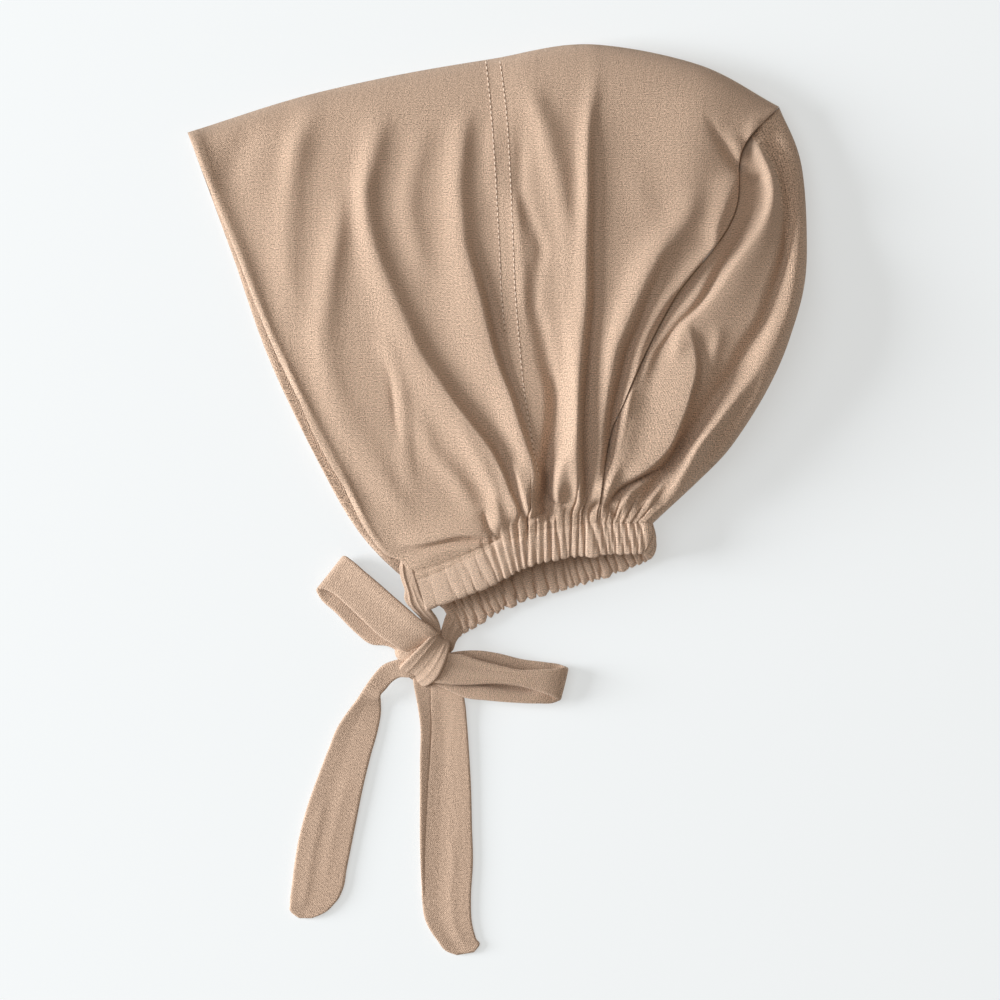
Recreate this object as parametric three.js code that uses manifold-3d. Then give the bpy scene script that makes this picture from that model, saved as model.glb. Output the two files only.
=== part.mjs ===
// Hijab underscarf cap, lying on its side with the near layer up.
// Millimetres, +Z up. X runs from the face edge to the back, Y from the ties up to the top fold.
// The origin is the middle of the floor area that the cap and its ties cover.

import * as THREE from 'three'
import { mergeVertices } from 'three/addons/utils/BufferGeometryUtils.js'
import Module from 'manifold-3d'

const wasm = await Module()
wasm.setup()

// Cap, as it lies
const capLength = 284
const capHeight = 274
const crownRise = 23
const faceRise = 12
const backRise = 25
const foldDepth = 8
const backFoldDepth = 9
const farEdgePeek = 5

// Rounded folds where the near layer turns over into the far layer
const cornerFoldReach = 9
const topFoldReach = 19
const backFoldReach = 13

// Cloth
const jerseyWall = 1.2
const facingWall = 1.8
const sewnGap = 0.4

// Elastic casing at the nape
const casingWidth = 17.5
const casingThick = 5
const neckGap = 9
const casingTurnReach = 5.5
const rufflePitch = 4.4
const ruffleDepth = 1

// Ties and bow
const tieWidth = 22
const tieThick = 1.9
const stubWidth = 9
const stubThick = 4
const knotLength = 27
const knotWidth = 19
const knotHeight = 13
const knotDrop = 24.5
const knotShift = 4.5
const leftLoopReach = 59
const rightLoopReach = 65
const loopGap = 4.6
const tailReach = 136

// Mesh fineness
const crownColumns = 44
const flatRows = 12
const foldSteps = 8
const backFlatSteps = 7
const casingSides = 8
const stepsPerRuffle = 3
const acrossTie = 3
const knotRound = 20
const knotRings = 12
const loopSteps = 20
const tailSteps = 16

// Place of each row on a meridian: share of the way from the casing to the top outline
const ROWS = [0, 0.08, 0.3, 0.54, 0.77, 0.88, 1]

// Meridians of the near layer. cloth: place across the cloth from the face edge to the back seam.
// gather: place along the casing. x, y: shares of cap length and height at the rows above the casing.
// lift: height of the cloth at LIFT_ROWS, as shares of rise.
const LIFT_ROWS = [0, 0.3, 0.6, 0.9, 1]
const MERIDIANS = [
  { cloth: 0, gather: 0, rise: faceRise, lift: [0.95, 1, 0.6],
    x: [0.320, 0.227, 0.141, 0.070, 0.034, 0], y: [0.146, 0.297, 0.487, 0.672, 0.761, 0.852] },
  { cloth: 0.19, gather: 0.1, rise: crownRise, lift: [0.64, 0.62, 0.42],
    x: [0.372, 0.251, 0.186, 0.184, 0.180, 0.181], y: [0.158, 0.311, 0.496, 0.697, 0.807, 0.911] },
  { cloth: 0.36, gather: 0.46, rise: crownRise, lift: [0.8, 0.78, 0.55],
    x: [0.526, 0.469, 0.362, 0.301, 0.312, 0.340], y: [0.244, 0.356, 0.521, 0.714, 0.832, 0.948] },
  { cloth: 0.52, gather: 0.55, rise: crownRise, lift: [0.9, 0.88, 0.66],
    x: [0.565, 0.539, 0.518, 0.506, 0.502, 0.494], y: [0.269, 0.395, 0.571, 0.773, 0.874, 0.975] },
  { cloth: 0.69, gather: 0.72, rise: crownRise, lift: [0.95, 0.96, 0.72],
    x: [0.641, 0.641, 0.652, 0.652, 0.654, 0.654], y: [0.272, 0.403, 0.588, 0.790, 0.891, 0.998] },
  { cloth: 0.84, gather: 0.76, rise: crownRise, lift: [0.98, 1.04, 0.74],
    x: [0.654, 0.663, 0.714, 0.796, 0.816, 0.824], y: [0.277, 0.403, 0.576, 0.748, 0.857, 0.965] },
  { cloth: 1, gather: 0.8, rise: crownRise, lift: [0.92, 1, 0.62],
    x: [0.673, 0.702, 0.777, 0.890, 0.901, 0.955], y: [0.294, 0.403, 0.571, 0.731, 0.824, 0.894] },
]

// Outline of the back panel above the casing, at the same rows, as shares of cap length and height
const BACK_OUTLINE = {
  x: [0.812, 0.896, 0.971, 1, 0.990, 0.955],
  y: [0.255, 0.353, 0.504, 0.672, 0.798, 0.894],
}
const BACK_LIFT = [0.9, 1, 0.6]

// Folds of the near layer. low, third, twoThirds, high: place across the cloth at FOLD_ROWS.
// depth: share of fold depth, up for a ridge and down for a valley. width: half width across the cloth.
// from, to: the stretch between casing and outline where the fold lives.
const FOLD_ROWS = [0.05, 0.35, 0.65, 0.9]
const CROWN_FOLDS = [
  { low: 0.14, third: 0.14, twoThirds: 0.14, high: 0.17, depth: 0.25, width: 0.04, from: 0.5, to: 1 },
  { low: 0.15, third: 0.15, twoThirds: 0.187, high: 0.21, depth: -0.35, width: 0.03, from: 0.4, to: 1 },
  { low: 0.19, third: 0.2, twoThirds: 0.235, high: 0.28, depth: 0.45, width: 0.035, from: 0.02, to: 0.85 },
  { low: 0.23, third: 0.232, twoThirds: 0.275, high: 0.31, depth: -0.5, width: 0.028, from: 0.06, to: 0.88 },
  { low: 0.33, third: 0.333, twoThirds: 0.33, high: 0.328, depth: 0.6, width: 0.035, from: 0.16, to: 1 },
  { low: 0.245, third: 0.285, twoThirds: 0.32, high: 0.33, depth: 0.2, width: 0.025, from: 0.1, to: 0.6 },
  { low: 0.362, third: 0.352, twoThirds: 0.367, high: 0.36, depth: -0.95, width: 0.024, from: 0, to: 1 },
  { low: 0.403, third: 0.405, twoThirds: 0.395, high: 0.407, depth: 0.35, width: 0.028, from: 0.05, to: 1 },
  { low: 0.497, third: 0.472, twoThirds: 0.446, high: 0.46, depth: 0.5, width: 0.028, from: 0.05, to: 1 },
  { low: 0.53, third: 0.503, twoThirds: 0.475, high: 0.478, depth: -1, width: 0.024, from: 0, to: 0.96 },
  { low: 0.565, third: 0.635, twoThirds: 0.612, high: 0.575, depth: 0.7, width: 0.04, from: 0.02, to: 1 },
  { low: 0.665, third: 0.665, twoThirds: 0.667, high: 0.68, depth: 0.3, width: 0.022, from: 0.4, to: 1 },
  { low: 0.69, third: 0.688, twoThirds: 0.685, high: 0.686, depth: -1, width: 0.028, from: 0, to: 1 },
  { low: 0.75, third: 0.84, twoThirds: 0.832, high: 0.87, depth: 0.65, width: 0.045, from: 0.04, to: 0.9 },
  { low: 0.93, third: 0.945, twoThirds: 0.89, high: 0.92, depth: -0.9, width: 0.032, from: 0.02, to: 0.86 },
]

// Folds of the back panel. The places run across the panel from the seam at 0 to the back outline at 1.
const BACK_FOLDS = [
  { low: 0.18, third: 0.14, twoThirds: 0.1, high: 0.1, depth: -0.5, width: 0.1, from: 0.12, to: 1 },
  { low: 0.4, third: 0.33, twoThirds: 0.3, high: 0.4, depth: 0.75, width: 0.14, from: 0, to: 1 },
  { low: 0.62, third: 0.58, twoThirds: 0.62, high: 0.72, depth: -0.85, width: 0.1, from: 0, to: 1 },
  { low: 0.74, third: 0.75, twoThirds: 0.8, high: 0.84, depth: 0.3, width: 0.08, from: 0, to: 0.9 },
]

// Centre line of the casing as shares of cap length and height, from its left end to its right end.
// sag: how far the near run is let down towards the knot, as a share of the neck gap.
const NEAR_RUN = [
  { x: 0.375, y: 0.081, sag: 0.5 },
  { x: 0.472, y: 0.118, sag: 0.15 },
  { x: 0.553, y: 0.158, sag: 0 },
  { x: 0.634, y: 0.173, sag: 0 },
  { x: 0.739, y: 0.178, sag: 0 },
]
const FAR_RUN = [
  { x: 0.424, y: 0.035, sag: 0 },
  { x: 0.526, y: 0.094, sag: 0 },
  { x: 0.647, y: 0.129, sag: 0 },
  { x: 0.739, y: 0.165, sag: 0 },
]

// Sections of the loops and tails. x, y: shares of the piece's reach from the middle of the knot.
// level: height of the strand's middle, as a share of the loop's or tail's own height.
// width: share of the tie width. across, tilt: plan angle and slope of the strand's width, in degrees.
const LEFT_LOOP = [
  { x: -0.02, y: 0.02, level: 0.8, width: 0.5, across: 48, tilt: 0 },
  { x: -0.2, y: 0.2, level: 0.85, width: 0.72, across: 50, tilt: 0 },
  { x: -0.45, y: 0.43, level: 1, width: 0.92, across: 52, tilt: 3 },
  { x: -0.7, y: 0.64, level: 0.95, width: 0.95, across: 52, tilt: 0 },
  { x: -0.77, y: 0.7, level: 0.5, width: 0.95, across: 52, tilt: 0 },
  { x: -0.72, y: 0.62, level: 0, width: 0.95, across: 52, tilt: 0 },
  { x: -0.48, y: 0.34, level: 0, width: 0.92, across: 50, tilt: 0 },
  { x: -0.24, y: 0.16, level: 0, width: 0.72, across: 48, tilt: 0 },
  { x: -0.02, y: 0.02, level: 0.1, width: 0.5, across: 48, tilt: 0 },
]
const RIGHT_LOOP = [
  { x: 0.02, y: -0.02, level: 1.15, width: 0.5, across: 262, tilt: 0 },
  { x: 0.2, y: -0.07, level: 1.35, width: 0.62, across: 264, tilt: -14 },
  { x: 0.5, y: -0.1, level: 1.3, width: 0.72, across: 264, tilt: -24 },
  { x: 0.93, y: -0.17, level: 1.1, width: 0.8, across: 258, tilt: -14 },
  { x: 1, y: -0.18, level: 0.55, width: 0.8, across: 258, tilt: -4 },
  { x: 0.92, y: -0.18, level: 0, width: 0.84, across: 260, tilt: 0 },
  { x: 0.5, y: -0.13, level: 0.1, width: 0.95, across: 266, tilt: 0 },
  { x: 0.2, y: -0.11, level: 0.6, width: 0.72, across: 264, tilt: 0 },
  { x: 0.02, y: -0.04, level: 0.6, width: 0.5, across: 262, tilt: 0 },
]
const LEFT_TAIL = [
  { x: -0.02, y: -0.02, level: 0.9, width: 0.3, across: -48, tilt: 0 },
  { x: -0.11, y: -0.065, level: 0.8, width: 0.34, across: -48, tilt: 0 },
  { x: -0.2, y: -0.15, level: 0.4, width: 0.7, across: -26, tilt: 0 },
  { x: -0.245, y: -0.29, level: 0, width: 1, across: -20, tilt: 0 },
  { x: -0.3, y: -0.5, level: 0, width: 1.06, across: -14, tilt: 0 },
  { x: -0.352, y: -0.74, level: 0, width: 1.1, across: -10, tilt: 0 },
  { x: -0.368, y: -0.81, level: 0, width: 1, across: 0, tilt: 0 },
  { x: -0.385, y: -0.86, level: 0, width: 0.5, across: 12, tilt: 0 },
]
const RIGHT_TAIL = [
  { x: 0.01, y: -0.02, level: 0.6, width: 0.6, across: 0, tilt: 0 },
  { x: 0.045, y: -0.11, level: 0.2, width: 0.95, across: 0, tilt: 0 },
  { x: 0.068, y: -0.25, level: 0, width: 1.05, across: 0, tilt: 0 },
  { x: 0.072, y: -0.55, level: 0, width: 1.1, across: 0, tilt: 0 },
  { x: 0.072, y: -0.83, level: 0, width: 1.06, across: 0, tilt: 0 },
  { x: 0.1, y: -0.92, level: 0, width: 0.92, across: -6, tilt: 0 },
  { x: 0.14, y: -0.985, level: 0, width: 0.4, across: -10, tilt: 0 },
]

// A smooth curve through table values, read at one place
function along(places, values, place) {
  const last = places.length - 1
  const at = THREE.MathUtils.clamp(place, places[0], places[last])
  let i = 0
  while (i < last - 1 && at > places[i + 1]) i += 1
  const rise = (k) => (values[k + 1] - values[k]) / (places[k + 1] - places[k])
  const slope = (k) => {
    if (k === 0) return rise(0)
    if (k === last) return rise(last - 1)
    const before = places[k] - places[k - 1]
    const after = places[k + 1] - places[k]
    return (after * rise(k - 1) + before * rise(k)) / (before + after)
  }
  const span = places[i + 1] - places[i]
  const s = (at - places[i]) / span
  const left = (1 + 2 * s) * (1 - s) ** 2 * values[i] + s * (1 - s) ** 2 * span * slope(i)
  const right = s * s * (3 - 2 * s) * values[i + 1] + s * s * (s - 1) * span * slope(i + 1)
  return left + right
}

const { lerp, smoothstep, degToRad } = THREE.MathUtils
const planMix = (a, b, share) => ({ x: lerp(a.x, b.x, share), y: lerp(a.y, b.y, share) })
const planDistance = (a, b) => Math.hypot(a.x - b.x, a.y - b.y)

// The casing is one band: near run, turn at the right, far run back to the left
const farBandLevel = casingThick / 2
const nearBandLevel = casingThick + neckGap + casingThick / 2

function casingLine() {
  const runSteps = 24
  const smoothRun = (rows, level) => {
    const places = rows.map((_, i) => i / (rows.length - 1))
    return Array.from({ length: runSteps + 1 }, (_, i) => new THREE.Vector3(
      capLength * along(places, rows.map((row) => row.x), i / runSteps),
      capHeight * along(places, rows.map((row) => row.y), i / runSteps),
      level - neckGap * along(places, rows.map((row) => row.sag), i / runSteps)))
  }
  const near = smoothRun(NEAR_RUN, nearBandLevel)
  const far = smoothRun(FAR_RUN, farBandLevel)
  const nearEnd = near.at(-1)
  const farEnd = far.at(-1)
  const middle = nearEnd.clone().add(farEnd).multiplyScalar(0.5)
  const turn = [15, 30, 45, 60, 75, 90, 105, 120, 135, 150, 165].map((angle) => {
    const point = middle.clone()
    point.addScaledVector(nearEnd.clone().sub(middle), Math.cos(degToRad(angle)))
    point.x += casingTurnReach * Math.sin(degToRad(angle))
    return point
  })
  const curve = new THREE.CatmullRomCurve3([...near, ...turn, ...far.toReversed()], false, 'centripetal')
  const finePerSpan = 10
  const spans = curve.points.length - 1
  curve.arcLengthDivisions = spans * finePerSpan
  const lengths = curve.getLengths()
  const total = lengths.at(-1)
  return {
    curve,
    total,
    nearShare: lengths[(near.length - 1) * finePerSpan] / total,
    farShare: 1 - lengths[(near.length + turn.length) * finePerSpan] / total,
  }
}
const casing = casingLine()

const up = new THREE.Vector3(0, 0, 1)

// The frame of the casing at a place: its middle, its direction, its width and its outer side
function casingFrame(place) {
  const middle = casing.curve.getPointAt(place)
  const direction = casing.curve.getTangentAt(place)
  const flatAcross = (at) => casing.curve.getTangentAt(at).cross(up).normalize()
  const farStart = 1 - casing.farShare
  let width
  if (place <= casing.nearShare) width = flatAcross(place)
  else if (place >= farStart) width = flatAcross(place).negate()
  else {
    const share = (place - casing.nearShare) / (farStart - casing.nearShare)
    width = flatAcross(casing.nearShare).lerp(flatAcross(farStart).negate(), share)
    width.addScaledVector(direction, -width.dot(direction)).normalize()
  }
  const outward = new THREE.Vector3().crossVectors(width, direction)
  return { middle, direction, width, outward }
}

// The edge where the cloth is sewn to the casing, with the sewing gap left free
function sewnEdge(place, outwardShift) {
  const frame = casingFrame(place)
  return frame.middle
    .addScaledVector(frame.width, -(casingWidth / 2 + sewnGap))
    .addScaledVector(frame.outward, outwardShift)
}
const nearPlace = (gather) => gather * casing.nearShare
const farPlace = (gather) => 1 - gather * casing.farShare

// Plan of the near layer, u from face edge to back seam, w from casing to top outline
const CLOTH = MERIDIANS.map((m) => m.cloth)
const NEAR_NET = MERIDIANS.map((m) => {
  const start = sewnEdge(nearPlace(m.gather), 0)
  return {
    x: [start.x, ...m.x.map((share) => share * capLength)],
    y: [start.y, ...m.y.map((share) => share * capHeight)],
    z: [start.z, ...m.lift.map((share) => share * m.rise), m.lift.at(-1) * m.rise],
  }
})

function nearPlan(u, w) {
  const x = along(CLOTH, NEAR_NET.map((m) => along(ROWS, m.x, w)), u)
  const y = along(CLOTH, NEAR_NET.map((m) => along(ROWS, m.y, w)), u)
  return { x, y }
}

const gatherAt = (u) => along(CLOTH, MERIDIANS.map((m) => m.gather), u)

// Plan of the far layer: it follows the near one, peeks out at the face edge and runs to its own casing
const peekDepth = 0.25
const farGatherRows = 0.3
function farPlan(u, w) {
  const point = nearPlan(u, w)
  const gather = gatherAt(u)
  const nearStart = sewnEdge(nearPlace(gather), 0)
  const farStart = sewnEdge(farPlace(gather), 0)
  const pull = Math.max(0, 1 - w / farGatherRows) ** 2
  const peek = farEdgePeek * Math.sin(Math.PI * w) * (1 - smoothstep(u, 0, peekDepth))
  return {
    x: point.x + pull * (farStart.x - nearStart.x) - peek,
    y: point.y + pull * (farStart.y - nearStart.y),
  }
}

// Sum of the folds of one table at a place
const foldFade = 0.12
function foldSum(folds, across, w) {
  return folds.reduce((sum, fold) => {
    const middle = along(FOLD_ROWS, [fold.low, fold.third, fold.twoThirds, fold.high], w)
    const off = (across - middle) / fold.width
    const begun = smoothstep(w, fold.from - foldFade, fold.from + foldFade)
    const ended = smoothstep(w, fold.to - foldFade, fold.to + foldFade)
    return sum + fold.depth * Math.exp(-off * off) * begun * (1 - ended)
  }, 0)
}

// Folds shrink to little where the cloth is sewn to the casing
const leastFold = 0.15
const fullFoldRow = 0.14
const sewnFoldShare = (w) => lerp(leastFold, 1, smoothstep(w, 0, fullFoldRow))

function nearHeight(u, w) {
  const base = along(CLOTH, NEAR_NET.map((m) => along(LIFT_ROWS, m.z, w)), u)
  return base + foldDepth * foldSum(CROWN_FOLDS, u, w) * sewnFoldShare(w)
}

// Outer side of the near layer before it turns over at the outline
function nearPoint(u, w) {
  const plan = nearPlan(u, w)
  return new THREE.Vector3(plan.x, plan.y, nearHeight(u, w))
}

// How much longer the wall is measured straight up than square to the cloth
const steepest = 2
const levelLimit = 1e-6
function slopeFactor(pointAt, u, w) {
  const step = 0.01
  const left = Math.max(0, u - step)
  const right = Math.min(1, u + step)
  const low = Math.max(0, w - step)
  const high = Math.min(1, w + step)
  const across = pointAt(right, w).sub(pointAt(left, w))
  const upward = pointAt(u, high).sub(pointAt(u, low))
  const square = across.cross(upward)
  return Math.min(steepest, square.length() / Math.max(square.z, levelLimit))
}

// The front is doubled by its turned-in facing as far as its twin-needle hem
const hemPlace = 0.52
const hemBlend = 0.015
const crownWall = (u) => lerp(facingWall, jerseyWall, smoothstep(u, hemPlace - hemBlend, hemPlace + hemBlend))
const fullReachPlace = 0.6
const topReach = (u) => lerp(cornerFoldReach, topFoldReach, smoothstep(u, 0, fullReachPlace))

// The stations of a section: flat rows up the near layer, steps round the fold, rows down the far layer
const rowCrowding = 1.25
const flatShares = Array.from({ length: flatRows }, (_, i) => (i / flatRows) ** rowCrowding)
const foldAngles = Array.from({ length: foldSteps + 1 }, (_, i) => (Math.PI * i) / foldSteps)
const CROWN_STATIONS = [
  ...flatShares.map((flat) => ({ flat, angle: 0 })),
  ...foldAngles.map((angle) => ({ flat: 1, angle })),
  ...flatShares.toReversed().map((flat) => ({ flat, angle: Math.PI })),
]

// Height on a section that turns over from the near layer to the far one
function turnedHeight(top, bottom, middle, angle) {
  const share = Math.cos(angle)
  return share > 0 ? middle + (top - middle) * share : middle + (middle - bottom) * share
}

function crownPoint(u, station, inside) {
  const wall = inside ? crownWall(u) : 0
  const length = planDistance(nearPlan(u, 0), nearPlan(u, 1))
  const reach = topReach(u) / length
  const foldStart = 1 - reach
  const w = foldStart * station.flat + (reach - wall / length) * Math.sin(station.angle)
  const turned = (1 - Math.cos(station.angle)) / 2
  const plan = planMix(nearPlan(u, w), farPlan(u, w), turned)
  const steep = inside ? lerp(slopeFactor(nearPoint, u, w), 1, Math.sin(station.angle)) : 1
  const top = nearHeight(u, w) - wall * steep
  const middle = nearHeight(u, foldStart) / 2
  return new THREE.Vector3(plan.x, plan.y, turnedHeight(top, wall, middle, station.angle))
}

// A closed wall of cloth: a box whose two big faces are bent to the outer and inner side
function wallGeometry(columns, stations, pointAt) {
  const box = new THREE.BoxGeometry(1, 1, 1, columns, stations.length - 1, 1)
  const place = box.attributes.position
  const middle = 0.5
  for (let i = 0; i < place.count; i += 1) {
    const column = Math.round((place.getX(i) + middle) * columns)
    const row = Math.round((place.getY(i) + middle) * (stations.length - 1))
    const point = pointAt(column / columns, stations[row], place.getZ(i) < 0)
    place.setXYZ(i, point.x, point.y, point.z)
  }
  return welded(box)
}

const weldDistance = 1e-4
function welded(geometry) {
  geometry.deleteAttribute('normal')
  geometry.deleteAttribute('uv')
  return mergeVertices(geometry, weldDistance)
}

// Back panel: s runs from the near seam round the back outline to the far seam, t from casing to apex
const seamFoldStart = 1 - topReach(1) / planDistance(nearPlan(1, 0), nearPlan(1, 1))
const turnPlace = (share) => lerp(casing.nearShare, 1 - casing.farShare, share)

function backOutline(t) {
  const start = sewnEdge(turnPlace(0.5), 0)
  return {
    x: along(ROWS, [start.x, ...BACK_OUTLINE.x.map((share) => share * capLength)], t),
    y: along(ROWS, [start.y, ...BACK_OUTLINE.y.map((share) => share * capHeight)], t),
  }
}
// Towards the apex the panel closes on the arc in which the crown turns over
const apexPull = (t) => t ** 8
const apexReachPull = (t) => t ** 4
const flatApexRow = 0.8
const seamBlend = 0.22

function backPlan(q, t, turned) {
  const w = t * seamFoldStart
  const seam = planMix(nearPlan(1, w), farPlan(1, w), turned)
  const point = planMix({ x: seam.x + sewnGap, y: seam.y }, backOutline(t), q)
  const arc = nearPlan(1, lerp(seamFoldStart, 1, q))
  const chord = planMix(nearPlan(1, seamFoldStart), nearPlan(1, 1), q)
  return {
    x: point.x + apexPull(t) * (arc.x + sewnGap * q - chord.x),
    y: point.y + apexPull(t) * (arc.y - chord.y),
  }
}

function backHeight(q, t) {
  const seam = nearHeight(1, t * seamFoldStart)
  const foot = sewnEdge(turnPlace(0), 0).z
  const lifts = [foot, ...BACK_LIFT.map((share) => share * backRise), nearHeight(1, seamFoldStart)]
  const level = 1 - smoothstep(t, flatApexRow, 1)
  const folds = backFoldDepth * foldSum(BACK_FOLDS, q, t) * sewnFoldShare(t) * level
  return lerp(seam, along(LIFT_ROWS, lifts, t) + folds, smoothstep(q, 0, seamBlend))
}

function backSpan(t) {
  const width = planDistance(nearPlan(1, t * seamFoldStart), backOutline(t))
  const reach = lerp(backFoldReach, topReach(1), apexReachPull(t))
  return { width, reach: Math.min(1, reach / width) }
}

const BACK_STATIONS = [...flatShares, 1]
const backColumns = 2 * backFlatSteps + foldSteps

// Where a column of the back panel lies on its section: flat share and angle of turn
function backColumn(s) {
  const column = Math.round(s * backColumns)
  if (column < backFlatSteps) return { flat: column / backFlatSteps, angle: 0 }
  if (column > backFlatSteps + foldSteps) return { flat: (backColumns - column) / backFlatSteps, angle: Math.PI }
  return { flat: 1, angle: (Math.PI * (column - backFlatSteps)) / foldSteps }
}

// The lower edge follows the casing: near run, turn and far run
function backFoot(column, shift) {
  const gather = MERIDIANS.at(-1).gather
  const near = lerp(nearPlace(gather), turnPlace(0), column.flat)
  const far = lerp(farPlace(gather), turnPlace(1), column.flat)
  const turned = column.angle / Math.PI
  const place = column.angle === 0 ? near : column.angle === Math.PI ? far : turnPlace(turned)
  return sewnEdge(place, shift)
}

function backPoint(s, t, inside) {
  const wall = inside ? jerseyWall : 0
  const column = backColumn(s)
  const { width, reach } = backSpan(t)
  const foldStart = 1 - reach
  const q = foldStart * column.flat + Math.max(0, reach - wall / width) * Math.sin(column.angle)
  const turned = (1 - Math.cos(column.angle)) / 2
  const plan = backPlan(q, t, turned)
  const surface = (a, b) => {
    const p = backPlan(a, b, 0)
    return new THREE.Vector3(p.x, p.y, backHeight(a, b))
  }
  const round = Math.max(Math.sin(column.angle), apexReachPull(t))
  const steep = inside ? lerp(slopeFactor(surface, q, t), 1, round) : 1
  const top = backHeight(q, t) - wall * steep
  const middle = backHeight(foldStart, t) / 2
  const point = new THREE.Vector3(plan.x, plan.y, turnedHeight(top, wall, middle, column.angle))
  const foot = backFoot(column, jerseyWall / 2 - wall)
  return point.lerp(foot, apexPull(1 - t))
}

// The casing's faces swell and pinch into ruffles, less at the front of the near run
const calmFrom = 0.29
const calmTo = 0.43
const calmShare = 0.35
function ruffleAt(place) {
  const wave = 0.5 + 0.5 * Math.cos((2 * Math.PI * place * casing.total) / rufflePitch)
  const strength = lerp(calmShare, 1, smoothstep(place, nearPlace(calmFrom), nearPlace(calmTo)))
  return ruffleDepth * strength * wave ** 2
}

const rounded = (value, power) => Math.sign(value) * Math.abs(value) ** power

const boxiness = 0.6
function casingGeometry() {
  const steps = Math.round((casing.total / rufflePitch) * stepsPerRuffle)
  const tube = new THREE.CylinderGeometry(1, 1, 1, casingSides, steps)
  const spot = tube.attributes.position
  for (let i = 0; i < spot.count; i += 1) {
    const place = THREE.MathUtils.clamp(spot.getY(i) + 0.5, 0, 1)
    const frame = casingFrame(place)
    const across = rounded(spot.getX(i), boxiness) * (casingWidth / 2)
    const thick = rounded(spot.getZ(i), boxiness) * (casingThick / 2 - ruffleAt(place))
    const point = frame.middle.addScaledVector(frame.width, across).addScaledVector(frame.outward, thick)
    spot.setXYZ(i, point.x, point.y, point.z)
  }
  return welded(tube)
}

// Middle of the knot, below and left of the two ends of the casing
function knotMiddle() {
  const near = casing.curve.getPointAt(0)
  const far = casing.curve.getPointAt(1)
  const middle = near.add(far).multiplyScalar(0.5)
  return new THREE.Vector3(middle.x - knotShift, middle.y - knotDrop, knotHeight / 2)
}
const knotPlace = knotMiddle()

// The wrapped knot: a flattened bead with grooves along the wrap
const wrapAngle = degToRad(62)
const wrapGrooves = 3
const grooveShare = 0.06
const knotRoundness = 0.8
function knotGeometry(grow) {
  const bead = new THREE.SphereGeometry(1, knotRound, knotRings)
  const spot = bead.attributes.position
  for (let i = 0; i < spot.count; i += 1) {
    const side = spot.getX(i)
    const wave = 0.5 - 0.5 * Math.cos(Math.PI * wrapGrooves * (side + 1))
    const pinch = grow > 0 ? 1 : 1 - grooveShare * wave
    const point = new THREE.Vector3(
      rounded(spot.getY(i), knotRoundness) * (knotLength / 2 + grow),
      -rounded(side, knotRoundness) * (knotWidth / 2 + grow),
      rounded(spot.getZ(i), knotRoundness) * (knotHeight / 2 + grow) * pinch)
    point.applyAxisAngle(up, wrapAngle).add(knotPlace)
    spot.setXYZ(i, point.x, point.y, point.z)
  }
  return welded(bead)
}

// A strand of tie bent through its sections
const lookAhead = 0.02
function strandGeometry({ rows, steps, reach, height }) {
  const places = rows.map((_, i) => i / (rows.length - 1))
  const read = (name, v) => along(places, rows.map((row) => row[name]), v)
  const middle = (v) => new THREE.Vector3(
    knotPlace.x + reach * read('x', v),
    knotPlace.y + reach * read('y', v),
    tieThick / 2 + height * Math.max(0, read('level', v)))
  const stations = Array.from({ length: steps + 1 }, (_, i) => i / steps)
  return wallGeometry(acrossTie, stations, (u, v, inside) => {
    const next = middle(Math.min(1, v + lookAhead))
    const direction = next.sub(middle(Math.max(0, v - lookAhead))).normalize()
    const angle = degToRad(read('across', v))
    const tilt = degToRad(read('tilt', v))
    const width = new THREE.Vector3(
      Math.cos(angle) * Math.cos(tilt), Math.sin(angle) * Math.cos(tilt), Math.sin(tilt))
    const outward = new THREE.Vector3().crossVectors(width, direction).normalize()
    return middle(v)
      .addScaledVector(width, (u - 0.5) * tieWidth * read('width', v))
      .addScaledVector(outward, (inside ? -0.5 : 0.5) * tieThick)
  })
}

// A short gathered stub from an end of the casing into the tip of the knot. away: along the casing or
// against it. swing: how far it runs straight on. level: share of the knot's height where it goes in.
// It is pinched on its way to the knot.
const tipShare = 0.3
const stubPinch = 0.55
const stubSides = 10
const stubSteps = 10
function stubGeometry({ place, away, swing, level }) {
  const frame = casingFrame(place)
  const start = frame.middle.clone().addScaledVector(frame.direction, away * sewnGap)
  const tip = new THREE.Vector3(Math.cos(wrapAngle), Math.sin(wrapAngle), 0)
  const end = knotPlace.clone().addScaledVector(tip, knotLength * tipShare)
  end.z = knotHeight * level
  const bend = start.clone().addScaledVector(frame.direction, away * swing)
  const curve = new THREE.CatmullRomCurve3([start, bend, end])
  const tube = new THREE.CylinderGeometry(1, 1, 1, stubSides, stubSteps)
  const spot = tube.attributes.position
  for (let i = 0; i < spot.count; i += 1) {
    const v = THREE.MathUtils.clamp(spot.getY(i) + 0.5, 0, 1)
    const direction = frame.direction.clone().multiplyScalar(away)
    direction.lerp(curve.getTangentAt(v), smoothstep(v, 0, 0.5)).normalize()
    const width = new THREE.Vector3().crossVectors(direction, up).normalize()
    const outward = new THREE.Vector3().crossVectors(width, direction)
    const gathered = lerp(1, stubPinch, smoothstep(v, 0, 0.5))
    const point = curve.getPointAt(v)
      .addScaledVector(width, rounded(spot.getX(i), boxiness) * gathered * stubWidth / 2)
      .addScaledVector(outward, rounded(spot.getZ(i), boxiness) * stubThick / 2)
    spot.setXYZ(i, point.x, point.y, point.z)
  }
  return welded(tube)
}

function asSolid(geometry) {
  return new wasm.Manifold(new wasm.Mesh({
    numProp: 3,
    vertProperties: new Float32Array(geometry.attributes.position.array),
    triVerts: new Uint32Array(geometry.index.array),
  }))
}

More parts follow.
